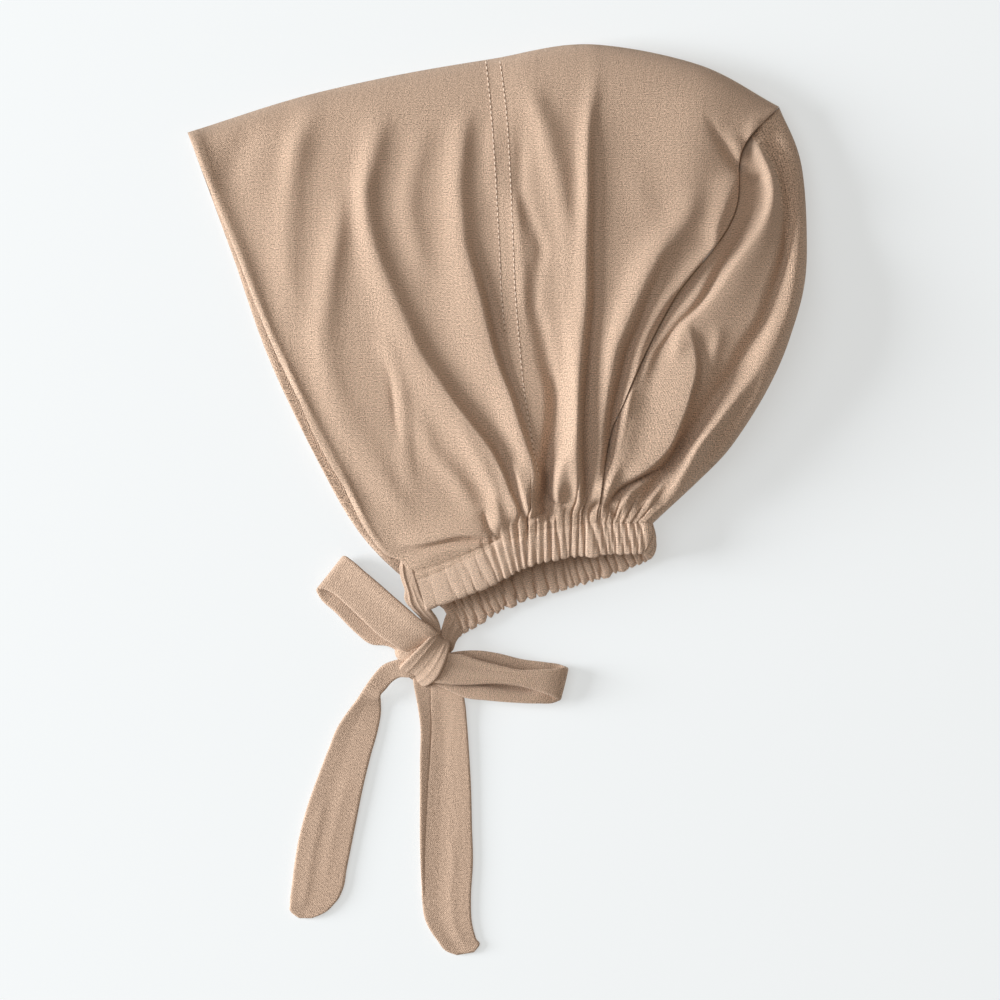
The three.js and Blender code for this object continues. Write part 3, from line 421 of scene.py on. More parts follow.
# Folds of the near layers, as lines that run down or across the chart. Rows: x, y, rise in mm, and the half
# widths in units on the two sides: left and right of a line that runs down, below and above one that runs
# to the right. A row may leave the widths out, and then keeps the last ones.
# power: 2 is round, 1 is a sharp crease. lean: how far the top hangs over, as a share of its rise.
# foot: the share of the rise that is left at the casing.
FOLDS = [
    # Front: the two soft ridges behind the face edge
    fold((322, 104, 0, 12, 14), (306, 128, 1.8), (297, 150, 3.2, 11, 15), (293, 175, 2.8),
        (290, 205, 2.4, 14, 15), (288, 240, 2), (289, 270, 1.5, 14, 12), (290, 300, 0.9), (288, 335, 0)),
    fold((343, 190, 0, 12, 10), (340, 215, 1.6), (336, 245, 3, 13, 11), (331, 275, 3, 13, 12),
        (327, 305, 2.8, 13, 14), (323, 335, 2.5, 13, 16), (326, 365, 2.2), (335, 400, 2.2, 14, 16),
        (348, 430, 2, 14, 18), (364, 455, 1.8, 15, 18), (388, 487, 1.8, 15, 12), (405, 510, 0.8),
        (415, 525, 0)),
    # The long curved ridge from the upper front to the stitches' foot, with its lesser neighbours
    fold((388, 112, 0, 14, 12), (378, 135, 2.2), (371, 158, 3.4, 11, 14), (364, 190, 4.2, 9, 12),
        (366, 222, 4.2, 9, 13), (373, 250, 4.2, 12, 12), (384, 280, 4.2, 15, 12), (395, 305, 4.2, 18, 12),
        (406, 330, 4.6, 20, 12), (417, 354, 5, 21, 11), (434, 380, 5.2, 22, 11), (450, 402, 5.4, 23, 8),
        (470, 428, 6, 24, 7.5), (487, 450, 6.4, 23, 6.5), (499, 472, 5.6, 18, 6), (508, 492, 4.6, 13, 6),
        (516, 506, 3, 9, 5), (521, 518, 0), lean=0.15, foot=0.7),
    fold((378, 330, 0, 9, 8), (389, 350, 1.2), (396, 372, 1.2), (403, 400, 1.5), (405, 425, 1.4),
        (406, 450, 1.2), (410, 475, 0.8), (418, 500, 0)),
    fold((385, 360, 0, 4, 4), (391, 380, -0.9), (394, 400, -1.3), (397, 425, -0.8), (402, 450, 0),
        power=1.5),
    fold((412, 400, 0, 10, 10), (424, 430, 1.5), (433, 452, 1.9), (447, 468, 2.2), (461, 486, 2.3),
        (472, 505, 1.3), (478, 520, 0)),
    fold((452, 420, 0, 7, 7), (464, 438, 0.8), (474, 456, 1.1), (482, 474, 0.8), (490, 492, 0)),
    fold((512, 458, 0, 4, 10), (518, 474, 2.8), (523, 490, 4.6, 4, 13), (527, 504, 4, 4, 9), (531, 516, 2),
        (534, 526, 0), foot=0.9),
    fold((505, 474, 0, 2.5, 2.5), (510, 488, -1.6), (516, 500, -2.4), (521, 510, -2.6), (528, 519, -2.2),
        (538, 515, -2.2), (546, 509, -1), (550, 504, 0), power=1.3, foot=1),
    fold((478, 455, 0, 8, 6), (486, 475, 1.4), (493, 492, 2.2), (497, 510, 2.4), (500, 525, 1.6),
        (500, 535, 0)),
    fold((426, 120, 0, 12, 12), (420, 150, 1.2), (411, 185, 1.6), (409, 205, 1.8), (414, 235, 1.6),
        (420, 258, 1.2), (430, 285, 0)),
    # The steep fold left of the stitches, and the crease under it
    fold((470, 110, 0, 12, 10), (462, 135, 2.4), (459, 160, 3.4, 12, 11), (457, 190, 3.8),
        (459, 215, 4, 13, 11), (463, 250, 4.4, 16, 10), (471, 278, 5, 22, 9), (478, 303, 5.6, 26, 8),
        (484, 328, 5.8, 28, 7), (490, 352, 5.6, 26, 7), (499, 378, 5, 22, 7), (508, 400, 4.6, 18, 7),
        (516, 425, 4, 14, 7), (525, 450, 3.6, 11, 7), (533, 470, 3, 9, 6), (539, 488, 2, 8, 5),
        (542, 500, 0), lean=0.2),
    fold((470, 225, 0, 4, 5), (475, 252, -0.8), (481, 275, -1.2), (488, 300, -1.6), (493, 325, -1.8),
        (499, 350, -1.8), (508, 376, -1.6), (517, 400, -1.5), (525, 425, -1.2), (533, 450, -1.5),
        (538, 470, -1), power=1.4),
    # Small ridges beside the stitches, and the long valley to their right
    fold((496, 110, 0, 9, 10), (493, 150, 1.2), (494, 185, 0.8), (500, 210, 0)),
    fold((516, 190, 0, 6, 6), (516, 205, 0.8), (519, 240, 0.8), (522, 270, 0.8), (524, 300, 0.8),
        (528, 330, 0)),
    fold((520, 118, 0, 7, 7), (521, 150, -1.2), (522, 200, -1.4), (530, 225, -1.4), (540, 250, -1.6),
        (535, 280, -1.2), (533, 305, -1.6, 7, 7), (541, 335, -2.2, 8, 9), (546, 360, -2.4, 8, 9),
        (554, 395, -3.4, 7, 7), (553, 425, -3.6, 7, 7), (549, 450, -5.4), (546, 475, -8), (544, 495, -9.8),
        (546, 510, -7), (549, 522, 0), foot=0.9),
    # Small curls where the gathers run into the casing
    fold((547, 468, 0, 2.5, 2.5), (547, 484, -3), (549, 497, -3.6), (556, 504, -2.8), (564, 504, -1.4),
        (570, 501, 0), power=1.3, foot=1),
    fold((589, 522, 0, 2.5, 2.5), (591, 509, -2.2), (598, 503, -2.6), (606, 506, -2.4), (611, 514, -1.4),
        (612, 523, 0), power=1.3, foot=1),
    # The broad folds between that valley and the long crease
    fold((528, 80, 0, 10, 12), (536, 110, 2.2), (545, 135, 3, 10, 14), (549, 152, 3.2, 11, 15),
        (556, 175, 3, 12, 14), (561, 200, 2.6, 12, 12), (566, 225, 2.2, 11, 12), (568, 250, 1.8, 10, 14),
        (568, 290, 1.4), (570, 330, 1.6, 8, 13), (574, 365, 2.2, 8, 12), (577, 400, 3.2, 9, 12),
        (575, 430, 4.2), (570, 452, 4.6, 8, 14), (560, 475, 5, 7, 16), (556, 490, 3.8, 5, 9),
        (556, 502, 3, 5, 6), (558, 512, 1), (560, 520, 0), foot=0.8),
    fold((598, 70, 0, 9, 6), (591, 105, 1.8), (588, 135, 3.4), (587, 165, 4.2), (587, 200, 4.6),
        (586, 250, 4.6, 11, 6), (585, 300, 4.8, 12, 6), (581, 350, 4.8), (577, 400, 4.6, 10, 6),
        (577, 430, 4.4, 9, 6), (577, 460, 4.2, 8, 6), (578, 490, 4, 6, 5), (580, 505, 2), (579, 520, 0),
        foot=0.7),
    fold((594, 105, 0, 3, 4), (593, 150, -1.3), (593, 200, -2), (592, 250, -2.2), (593, 300, -2.6),
        (588, 350, -3.4), (584, 400, -4.8), (583, 450, -4.8), (585, 490, -3), (583, 512, -1), power=1.4,
        foot=0.8),
    fold((628, 150, 0, 14, 14), (640, 200, 0.8), (648, 235, 0)),
    fold((698, 85, 0, 34, 34), (696, 115, 1.2), (692, 150, 2, 34, 32), (690, 180, 2, 28, 24),
        (688, 205, 1.8, 20, 14), (686, 235, 0)),
    # The wide round ridge towards the back seam, the crease under it and the crown's own edge
    fold((704, 190, 0, 14, 12), (690, 210, 1.4), (676, 232, 3, 15, 12), (660, 252, 4.6, 16, 11),
        (647, 275, 5, 16, 11), (636, 300, 5, 15, 10), (625, 325, 5, 14, 9), (615, 350, 4.8, 12, 9),
        (610, 375, 4.8, 11, 8), (606, 400, 4.6, 9, 7), (603, 425, 4.4, 8, 6), (602, 450, 4, 8, 6),
        (599, 475, 3.4, 7, 6), (595, 495, 2, 6, 6), (592, 508, 0)),
    fold((670, 248, 0, 4, 5), (657, 278, -1.4), (647, 300, -2.2), (637, 328, -3.4), (627, 350, -4.4),
        (620, 376, -4.6), (614, 400, -4.6), (609, 430, -4), (606, 455, -3.4), (601, 474, -1), (598, 486, 0),
        power=1.4, foot=0.8),
    fold((738, 168, 0, 16, 7), (731, 187, 2.6), (724, 205, 3.2), (716, 228, 3, 12, 6),
        (712, 248, 2.8, 9, 5), (697, 265, 2.6), (684, 281, 2.6), (670, 297, 2.6, 8, 4), (658, 314, 2.6),
        (648, 331, 2.6), (640, 350, 2.6, 7, 4), (634, 370, 2.4), (627, 400, 2), (618, 440, 1.2),
        (610, 470, 0)),
    # Creases of the upper back and the front corner
    fold((704, 115, 0, 4, 4), (716, 138, -1.8), (728, 156, -2.8), (738, 170, -2.6), (743, 178, 0),
        power=1.4),
    fold((728, 128, 0, 9, 8), (735, 145, 1.6), (740, 158, 1.8), (744, 168, 0)),
    fold((253, 122, 0, 12, 14), (246, 140, -1.6), (238, 158, -1.6), (230, 178, -0.9), (224, 195, 0)),
    # The pleat over the front end of the casing, and the hook at its end
    fold((398, 549, 0, 3.5, 16), (414, 545, 1.6), (436, 540, 2.6), (458, 535, 3), (478, 534, 2.8),
        (490, 536, 1.8), (498, 540, 0), foot=0.9),
    fold((404, 551, 0, 3, 2.5), (430, 546, -1), (455, 541, -1.8), (475, 540, -2), (490, 541, -1.6),
        (500, 543, 0), power=1.2, foot=0.9),
    fold((404, 566, 0, 6, 6), (425, 557, 1), (450, 549, 1.2), (475, 544, 1), (492, 543, 0), foot=1),
    fold((484, 508, 0, 4, 3), (486, 518, -1.8), (490, 529, -2), (498, 538, -1), power=1.3, foot=0.9),
    # Back panel: the strip beside the seam and the crest behind it
    fold((735, 222, 0, 7, 6), (720, 250, 1), (708, 272, 1.6), (693, 300, 2.2), (676, 320, 2.4),
        (663, 337, 2.4), (653, 350, 2.4), (644, 368, 1.6), (638, 385, 0)),
    fold((748, 120, 0, 8, 8), (753, 135, 3.4), (758, 150, 5), (766, 168, 5.4, 8, 8), (770, 185, 5.6, 8, 8),
        (770, 203, 5.6, 8, 8), (764, 222, 5, 8, 12), (750, 246, 4.6, 8, 20), (733, 270, 4.4, 8, 26),
        (717, 295, 4, 8, 30), (702, 313, 3.8, 8, 30), (688, 325, 3.4, 7, 24), (678, 338, 2.6, 7, 14),
        (674, 352, 1.5, 7, 8), (672, 365, 0)),
    fold((755, 205, 0, 4, 3), (745, 228, -1.2), (731, 252, -1.8), (716, 276, -2), (702, 300, -2.2),
        (690, 314, -2.2), (678, 324, -2), (666, 340, -1.8), (658, 352, -1.2), (650, 370, 0), power=1.3),
    # The lobe over the casing, with its undercut
    fold((682, 322, 0, 14, 6), (690, 345, 3, 24, 5), (692, 368, 6, 30, 5), (686, 395, 7.5, 34, 5),
        (677, 422, 7.2, 36, 4.5), (665, 447, 6.8, 36, 4), (650, 463, 6.4, 30, 4), (633, 476, 6.2, 22, 4),
        (616, 487, 4, 12, 3.5), (605, 499, 0), power=1.6, lean=0.15, foot=0.8),
    fold((654, 345, 0, 7, 6), (643, 372, 1.8, 7, 7), (630, 400, 3.8, 7, 11), (624, 430, 3.6, 7, 11),
        (618, 455, 3, 6, 10), (612, 473, 4.2, 6, 6), (607, 488, 5.4, 7, 5), (604, 500, 4, 6, 5),
        (600, 511, 1, 4, 4), (599, 520, 0), foot=0.9),
    fold((606, 510, 0, 3, 3), (610, 500, -3.4, 2.5, 2.5), (617, 490, -5), (631, 481, -4.6),
        (647, 474, -4.4), (661, 467, -3.4), (671, 457, 0), power=1.3, foot=0.9),
    fold((616, 517, 0, 4, 5), (621, 505, 2.2), (628, 493, 3.2), (639, 485, 2.4), (651, 479, 0), foot=1),
    fold((632, 516, 0, 2.5, 3), (636, 504, -1.4), (644, 494, -1.6), (654, 486, 0), foot=1),
    fold((640, 514, 0, 3, 3), (645, 503, 1.6), (653, 493, 1.4), (661, 484, 0), foot=1),
    # The long valley of the back panel and the two ridges outside it
    fold((757, 122, 0, 7, 8), (768, 148, -4), (780, 172, -5, 6, 7), (787, 200, -6, 5, 7), (786, 235, -6),
        (780, 265, -5), (771, 295, -4, 6, 8), (760, 325, -3.4), (745, 350, -3.6, 8, 7), (730, 376, -3.8),
        (711, 400, -4), (690, 430, -5), (676, 449, -6.6, 5, 5), (664, 467, -5, 5, 5), (650, 484, -3),
        (636, 500, 0)),
    fold((780, 310, 0, 9, 8), (767, 348, 2), (753, 375, 2.8), (733, 400, 3.8, 7, 7), (714, 425, 5),
        (694, 450, 6.4, 6, 9), (681, 472, 4.8), (669, 491, 3.4), (656, 508, 0)),
    fold((775, 350, 0, 5, 8), (766, 375, 1.4), (753, 405, 2.2), (739, 430, 2.2), (723, 455, 1.8),
        (706, 478, 0)),
    fold((719, 325, 0, 8, 8), (713, 350, 2), (706, 375, 1.6), (700, 392, 0)),
    fold((792, 160, 0, 7, 10), (796, 200, 1.2), (797, 250, 1.4), (792, 300, 1.2), (782, 340, 1),
        (770, 370, 0)),
    # The hook of cloth at the top of the seam
    fold((743, 176, 0, 3, 3), (747, 181, -1.6), (753, 182, -1.8), (759, 178, -1.4), (762, 172, 0),
        power=1.2),
]


def fold_offsets(x, y, gap):
    """The shift of a near layer in mm, across and up, that all the folds give at plan places.
    gap: distance in mm from where the cloth starts at the casing."""
    shape = x.shape
    x, y = (values.ravel() for values in to_chart(x, y))
    free = smoothstep(gap, SEAM_OVERLAP, SEAM_OVERLAP + FULL_FOLD_REACH).ravel()
    shift = np.zeros((x.size, 3))
    for line, power, lean, foot in FOLDS:
        widest = line[:, 3:].max() * FOLD_REACH
        low, high = line[:, :2].min(0) - widest, line[:, :2].max(0) + widest
        near = np.nonzero((x > low[0]) & (x < high[0]) & (y > low[1]) & (y < high[1]))[0]
        if not len(near):
            continue
        k, at, away, side = nearest_on(line[:, :2], x[near], y[near])
        rise, left, right = (mix(line[k, part], line[k + 1, part], at) for part in (2, 3, 4))
        bump = rise * mix(foot, 1, free[near]) * np.exp(-(away / np.where(side > 0, left, right)) ** power)
        lean_over = lean * bump[:, None] * unit(line[k + 1, :2] - line[k, :2])[:, ::-1]
        shift[near] += np.column_stack([lean_over, bump])
    return shift.reshape(shape + (3,))


EDGE_POINTS = 100


def casing_gap(x, y):
    """Distance in mm in the plan from the line on the near run where the cap's cloth starts, and the
    place on the run of the nearest point."""
    places = np.linspace(0, casing.near_share, EDGE_POINTS)
    k, at, gaps, _ = nearest_on(casing.sewn_edge(places)[:, :2], x.ravel(), y.ravel())
    return gaps.reshape(x.shape), mix(places[k], places[k + 1], at).reshape(x.shape)


# Cloth beside the casing, in mm: puff over it, dip at the stitches where there are no ruffles, sunk start
PUFF = 1.8
PUFF_RUN = 9
STITCH_DIP = 0.5
DIP_WIDTH = 0.9
START_SINK = 0.35
SINK_RUN = 0.6
PLEAT_SHARE = 0.95
PLACE_RUN = 8
# Chart places between which the dip ends and the puff starts
PLAIN_END = (492, 506)
PUFF_START = (485, 525)


def start_sink(gap):
    return START_SINK * (1 - smoothstep(gap, 0, SINK_RUN))


def gathers(place, gap):
    """Depth of the casing's ruffles where they run on into the cap's cloth."""
    inside = np.minimum(gap, SEAM_OVERLAP)
    return ruffle(place * casing.total, SEAM_OVERLAP - CASING_WIDTH / 2 - inside, gap - inside)


def seam_depth(place, gap, px):
    """How far the crown's cloth lies below its net where it comes out of the casing."""
    dip = STITCH_DIP * np.exp(-((gap - SEAM_OVERLAP) / DIP_WIDTH) ** 2) * (1 - smoothstep(px, *PLAIN_END))
    puff = PUFF * smoothstep(gap, SEAM_OVERLAP, SEAM_OVERLAP + PUFF_RUN) * smoothstep(px, *PUFF_START)
    return PLEAT_SHARE * gathers(place, gap) + dip + start_sink(gap) - puff


# The soft rim behind the face edge. Rows: units from the edge, rise in mm
FACE_RIM = [(0, 0), (4, 1.1), (10, -0.4), (18, -1.2), (28, -1.1), (44, -0.3), (60, 0)]
RIM_START = (0.02, 0.2)
# The cloth's corner over the front end of the casing bends up and back: x, y, reach, shift in units
CORNER = (404, 562, 13, 3, -8)
CORNER_RUN = 4


def near_surface(u, w):
    """The outer side of the near layer of the crown before it turns over, in mm."""
    x, y = near_plan(u, w)
    px, py = to_chart(x, y)
    gap, place = casing_gap(x, y)
    shift = fold_offsets(x, y, gap)
    own_place = near_place(along(CLOTH, GATHER, u))
    place = mix(place, own_place, smoothstep(gap, SEAM_OVERLAP, SEAM_OVERLAP + PLACE_RUN))
    edge_x, edge_y = near_plan(0, w)
    from_edge = np.hypot(x - edge_x, y - edge_y) / UNIT_MM
    rim = along(*zip(*FACE_RIM), from_edge) * smoothstep(w, *RIM_START)
    corner = np.exp(-((px - CORNER[0]) ** 2 + (py - CORNER[1]) ** 2) / CORNER[2] ** 2) * UNIT_MM
    corner = corner * smoothstep(gap, 0, CORNER_RUN)
    height = near_height(u, w) + rim - seam_depth(place, gap, px)
    return shift + np.stack([x + CORNER[3] * corner, y - CORNER[4] * corner, height], axis=-1)


# Wall of the cloth, and how it turns over from the near layer to the far one, in mm
JERSEY_WALL = 1.2
FACING_WALL = 1.8
CORNER_FOLD_REACH = 9
TOP_FOLD_REACH = 19
# Places across the cloth: where the turn over is full, and the stitched hem that ends the facing
FULL_REACH_PLACE = 0.6
HEM_PLACE = 0.52
HEM_BLEND = 0.015
# Shift of the far layer in the UV map, and length of the turn over in it, in metres
FAR_UV_SHIFT = 0.4
TURN_UV = 0.035


def turned_share(angle):
    """0 on the near layer, 1 on the far one."""
    return (1 - np.cos(angle)) / 2


def turned_height(top, bottom, middle, angle):
    share = np.cos(angle)
    return middle + np.where(share > 0, top - middle, middle - bottom) * share


def even_shares(count, first):
    """Shares from 0 to 1 that start close together: first is the first step's share of an even one."""
    t = np.linspace(0, 1, count + 1)
    return first * t + (1 - first) * t * t


RIM_COLUMNS = (0.0008, 0.0022)
SEAM_COLUMN = 0.9975
# Rows of the net that the spacing of the columns is taken from, and their weights
SPREAD_ROWS = ((0.54, 0.7), (0.1, 0.3))


def spread_columns(count):
    """Places across the cloth, evenly spaced in the plan, with a few close ones at the face edge."""
    fine = np.linspace(0, 1, 2001)
    total = np.zeros(len(fine))
    for row, weight in SPREAD_ROWS:
        steps = running_length(np.stack(near_plan(fine, row), axis=1))
        total += weight * steps / steps[-1]
    places = np.interp(np.linspace(0, 1, count), total, fine)
    return np.array([0, *RIM_COLUMNS, *places[1:-1], SEAM_COLUMN, 1])


def add_object(name, mesh):
    """A smooth object of the scene from a mesh."""
    mesh.polygons.foreach_set("use_smooth", [True] * len(mesh.polygons))
    mesh.update()
    piece = bpy.data.objects.new(name, mesh)
    bpy.context.scene.collection.objects.link(piece)
    return piece


CLOTH_UV = "cloth"


def add_mesh(name, points, faces, uvs):
    """A mesh object from points in mm, with its UV map in metres along the cloth."""
    mesh = bpy.data.meshes.new(name)
    mesh.from_pydata((points * MM).tolist(), [], faces)
    layer = mesh.uv_layers.new(name=CLOTH_UV)
    loops = np.zeros(len(mesh.loops), dtype=np.int32)
    mesh.loops.foreach_get("vertex_index", loops)
    layer.data.foreach_set("uv", uvs[loops].ravel())
    shell = bmesh.new()
    shell.from_mesh(mesh)
    bmesh.ops.recalc_face_normals(shell, faces=shell.faces)
    shell.to_mesh(mesh)
    shell.free()
    return add_object(name, mesh)


def grid_faces(ids):
    """Quads of a grid of point numbers."""
    a, b = ids[:-1], ids[1:]
    return np.stack([a[:, :-1], a[:, 1:], b[:, 1:], b[:, :-1]], axis=-1).reshape(-1, 4).tolist()


def rim_faces(fine, keep, coarse):
    """Fans between a fine edge and a coarse one that share the points at keep."""
    faces = []
    for k in range(len(keep) - 1):
        run = fine[keep[k]:keep[k + 1] + 1]
        middle = len(run) // 2
        faces += [[coarse[k], run[i + 1], run[i]] for i in range(middle)]
        faces.append([coarse[k], coarse[k + 1], run[middle]])
        faces += [[coarse[k + 1], run[i + 1], run[i]] for i in range(middle, len(run) - 1)]
    return faces


def wall_piece(name, outer, inner, row_keep, column_keep, uv):
    """A closed wall of cloth from a fine outer side and a coarse inner side of rows by columns."""
    outer_ids = np.arange(outer[..., 0].size).reshape(outer.shape[:2])
    inner_ids = outer_ids.size + np.arange(inner[..., 0].size).reshape(inner.shape[:2])
    faces = grid_faces(outer_ids) + grid_faces(inner_ids[::-1])
    for ids, coarse, keep in ((outer_ids.T, inner_ids.T, row_keep), (outer_ids, inner_ids, column_keep)):
        for edge in (0, -1):
            faces += rim_faces(ids[edge].tolist(), keep, coarse[edge].tolist())
    points = np.concatenate([outer.reshape(-1, 3), inner.reshape(-1, 3)])
    inner_uv = uv[np.ix_(row_keep, column_keep)]
    return add_mesh(name, points, faces, np.concatenate([uv.reshape(-1, 2), inner_uv.reshape(-1, 2)]))


# Inner side: every how many-th point it keeps, least share of the wall under the outer side, height in mm
# off the floor. Angles of the turn over up to which the cloth is near, and from which it is far.
INNER_STEP = 3
LEAST_WALL = 0.5
INNER_FLOOR = 0.3
NEAR_ANGLE = 0.4
FAR_ANGLE = 3


def every(count, step):
    """Every step-th number up to the last one, which is always there."""
    keep = list(range(0, count - 1, step))
    if count - 1 - keep[-1] < step / 2 and len(keep) > 1:
        keep.pop()
    return keep + [count - 1]


def inner_side(outer, side, across, along_way, angle, wall):
    """The coarse inner side of a wall, kept under the lowest of the fine outer side round each of its
    points and off the floor, with the rows and columns that it keeps."""
    rows, columns = (every(count, INNER_STEP) for count in angle.shape)
    kept = np.ix_(rows, columns)
    inner = side(across[kept], along_way[kept], angle[kept], wall[kept])
    padded = np.pad(outer[..., 2], 2, mode="edge")
    windows = np.lib.stride_tricks.sliding_window_view(padded, (5, 5))
    under = windows[kept].min(axis=(2, 3)) - LEAST_WALL * wall[kept]
    height = np.where(angle[kept] < NEAR_ANGLE, np.minimum(inner[..., 2], under), inner[..., 2])
    inner[..., 2] = np.maximum(height, INNER_FLOOR)
    return inner, rows, columns


CROWN_COLUMNS = 262
# Rows of the flat near part and of the far part: count, and the first step's share of an even one
CROWN_FLAT_ROWS = (224, 0.45)
CROWN_FAR_ROWS = (26, 0.6)
FOLD_STEPS = 14
# Rims: reach and depth of the rounding, and how far the inner side closes up to the outer one
RIM_ROUND = 1.1
RIM_DROP = 0.46
RIM_CLOSE = 0.7
SEAM_WALL = 1.1
BEND = np.pi * np.arange(FOLD_STEPS + 1) / FOLD_STEPS


def rim_drop(outer, edge, wall):
    """How far the outer side of a wall curves down close to one of its edge columns."""
    gap = np.linalg.norm(outer - outer[:, edge][:, None], axis=-1)
    near = np.clip(1 - gap / RIM_ROUND, 0, 1)
    return RIM_DROP * wall * (1 - np.sqrt(1 - near ** 2))


def stations(flat, far):
    """Shares and angles of a section: flat near part, bend and far part back."""
    shares = np.concatenate([flat, np.ones(len(BEND)), far])
    return shares, np.concatenate([np.zeros(len(flat)), BEND, np.full(len(far), np.pi)])


def crown_place(u, flat, angle, wall):
    """Place of a crown's point between casing and top, and the share of its column that turns over."""
    length = column_length(u)
    reach = mix(CORNER_FOLD_REACH, TOP_FOLD_REACH, smoothstep(u, 0, FULL_REACH_PLACE)) / length
    return (1 - reach) * flat + (reach - wall / length) * np.sin(angle), reach


def crown_side(u, flat, angle, wall):
    """Points of one side of the crown."""
    w, reach = crown_place(u, flat, angle, wall)
    turned = turned_share(angle)
    near = near_surface(u, w)
    far_x, far_y = far_plan(u, w)
    middle = near_surface(u[:1], 1 - reach[:1])[..., 2] / 2
    height = turned_height(near[..., 2] - wall, wall, middle, angle)
    return np.stack([mix(near[..., 0], far_x, turned), mix(near[..., 1], far_y, turned), height], axis=-1)


def make_crown():
    far = even_shares(*CROWN_FAR_ROWS)[:-1][::-1]
    shares, turns = stations(even_shares(*CROWN_FLAT_ROWS)[:-1], far)
    u, flat = np.meshgrid(spread_columns(CROWN_COLUMNS), shares)
    angle = np.broadcast_to(turns[:, None], u.shape)
    wall = mix(FACING_WALL, JERSEY_WALL, smoothstep(u, HEM_PLACE - HEM_BLEND, HEM_PLACE + HEM_BLEND))
    outer = crown_side(u, flat, angle, np.zeros_like(u))
    outer[..., 2] -= (rim_drop(outer, 0, wall) + rim_drop(outer, -1, SEAM_WALL)) * np.cos(angle)
    outer[..., 2] = np.maximum(outer[..., 2], 0)
    inner, rows, columns = inner_side(outer, crown_side, u, flat, angle, wall)
    inner[:, 0, 2] = mix(inner[:, 0, 2], outer[rows, 0, 2], RIM_CLOSE)
    x, y = near_plan(u, crown_place(u, flat, angle, 0)[0])
    far_shift = np.where(angle > FAR_ANGLE, FAR_UV_SHIFT, 0)
    uv = np.stack([x * MM + far_shift, y * MM + TURN_UV * turned_share(angle)], axis=-1)
    return wall_piece("crown_cloth", outer, inner, rows, columns, uv)


# Back panel: its columns run from the near seam round the back outline to the far seam, t from the casing
# to the apex. Lift: heights in mm between its foot and the apex. Columns and rows as for the crown.
BACK_LINE = [(690, 488), (742, 430), (788, 340), (806, 240), (800, 165), (778, 108)]
BACK_LIFT = (22.5, 25, 15)
BACK_FOLD_REACH = 5.5
BACK_HALF_RISE = 11
BACK_FLAT_COLUMNS = (88, 0.75)
BACK_FAR_COLUMNS = 20
BACK_ROWS = (210, 0.5)
# Beside the seam: share of the way over which the height blends in, and the gap in mm to the crown. The
# seam's place where the crown's turn over starts
SEAM_BLEND = 0.22
SEAM_GAP = 0.15
SEAM_START = 1 - TOP_FOLD_REACH / column_length(1)
# Towards the apex: place from which the back's own folds fade out, and how late the outline and the fold
# close up to the crown's. Towards the casing: how soon the cloth leaves it
APEX_FADE = 0.93
APEX_PULL = 8
APEX_FOLD_PULL = 4
FOOT_PULL = 8


def back_outline(t):
    start = casing.sewn_edge(turn_place(0.5))
    x, y = to_plan(*zip(*BACK_LINE))
    return along(ROWS, [start[0], *x], t), along(ROWS, [start[1], *y], t)


def back_plan(q, t, turned):
    """Place in the plan: q from the seam to the back outline."""
    near, far = near_plan(1, t * SEAM_START), far_plan(1, t * SEAM_START)
    arc = near_plan(1, mix(SEAM_START, 1.0, q))
    low, high = near_plan(1, SEAM_START), near_plan(1, 1)
    plan = []
    for i, (gap, out) in enumerate(zip((SEAM_GAP, 0), back_outline(t))):
        bent = arc[i] + gap * q - mix(low[i], high[i], q)
        plan.append(mix(mix(near[i], far[i], turned) + gap, out, q) + t ** APEX_PULL * bent)
    return plan


def back_surface(q, t):
    """The shift that the folds give the near layer of the back panel, and its height before that."""
    x, y = back_plan(q, t, 0)
    foot = casing.sewn_edge(turn_place(0.0))[2] + SEAM_LEVEL
    lifts = [foot, *BACK_LIFT, near_height(1, SEAM_START)]
    height = mix(near_height(1, t * SEAM_START), along(LIFT_ROWS, lifts, t), smoothstep(q, 0, SEAM_BLEND))
    shift = fold_offsets(x, y, casing_gap(x, y)[0])
    return shift * (1 - smoothstep(t, APEX_FADE, 1))[..., None], height


def back_side(flat, t, angle, wall):
    """Points of one side of the back panel."""
    seam_x, seam_y = near_plan(1, t * SEAM_START)
    out_x, out_y = back_outline(t)
    width = np.maximum(np.hypot(out_x - seam_x, out_y - seam_y), 1e-6)
    reach = np.minimum(1, mix(BACK_FOLD_REACH, TOP_FOLD_REACH, t ** APEX_FOLD_PULL) / width)
    q = (1 - reach) * flat + np.maximum(0, reach - wall / width) * np.sin(angle)
    turned = turned_share(angle)
    keep = np.maximum(np.cos(angle), 0)
    shift, height = back_surface(q, t)
    bend_shift, bend_height = back_surface(1 - reach, t)
    middle = (bend_height + bend_shift[..., 2]) / 2
    height = turned_height(height + shift[..., 2] - wall, wall, middle, angle)
    x, y = back_plan(q, t, turned)
    points = np.stack([x + shift[..., 0] * keep, y + shift[..., 1] * keep, height], axis=-1)
    near_foot = mix(near_place(GATHER[-1]), turn_place(0.0), flat)
    far_foot = mix(far_place(GATHER[-1]), turn_place(1.0), flat)
    place = np.where(angle == 0, near_foot, np.where(angle == np.pi, far_foot, turn_place(turned)))
    outward = casing.frame(place)[3]
    foot = casing.sewn_edge(place) + outward * (SEAM_LEVEL * np.abs(np.cos(angle)) - wall)[..., None]
    gap = np.linalg.norm(points - foot, axis=-1)
    points = points + (foot - points[:1]) * ((1 - t) ** FOOT_PULL)[..., None]
    points[..., 2] -= (gathers(place, gap) + start_sink(gap)) * keep
    return points


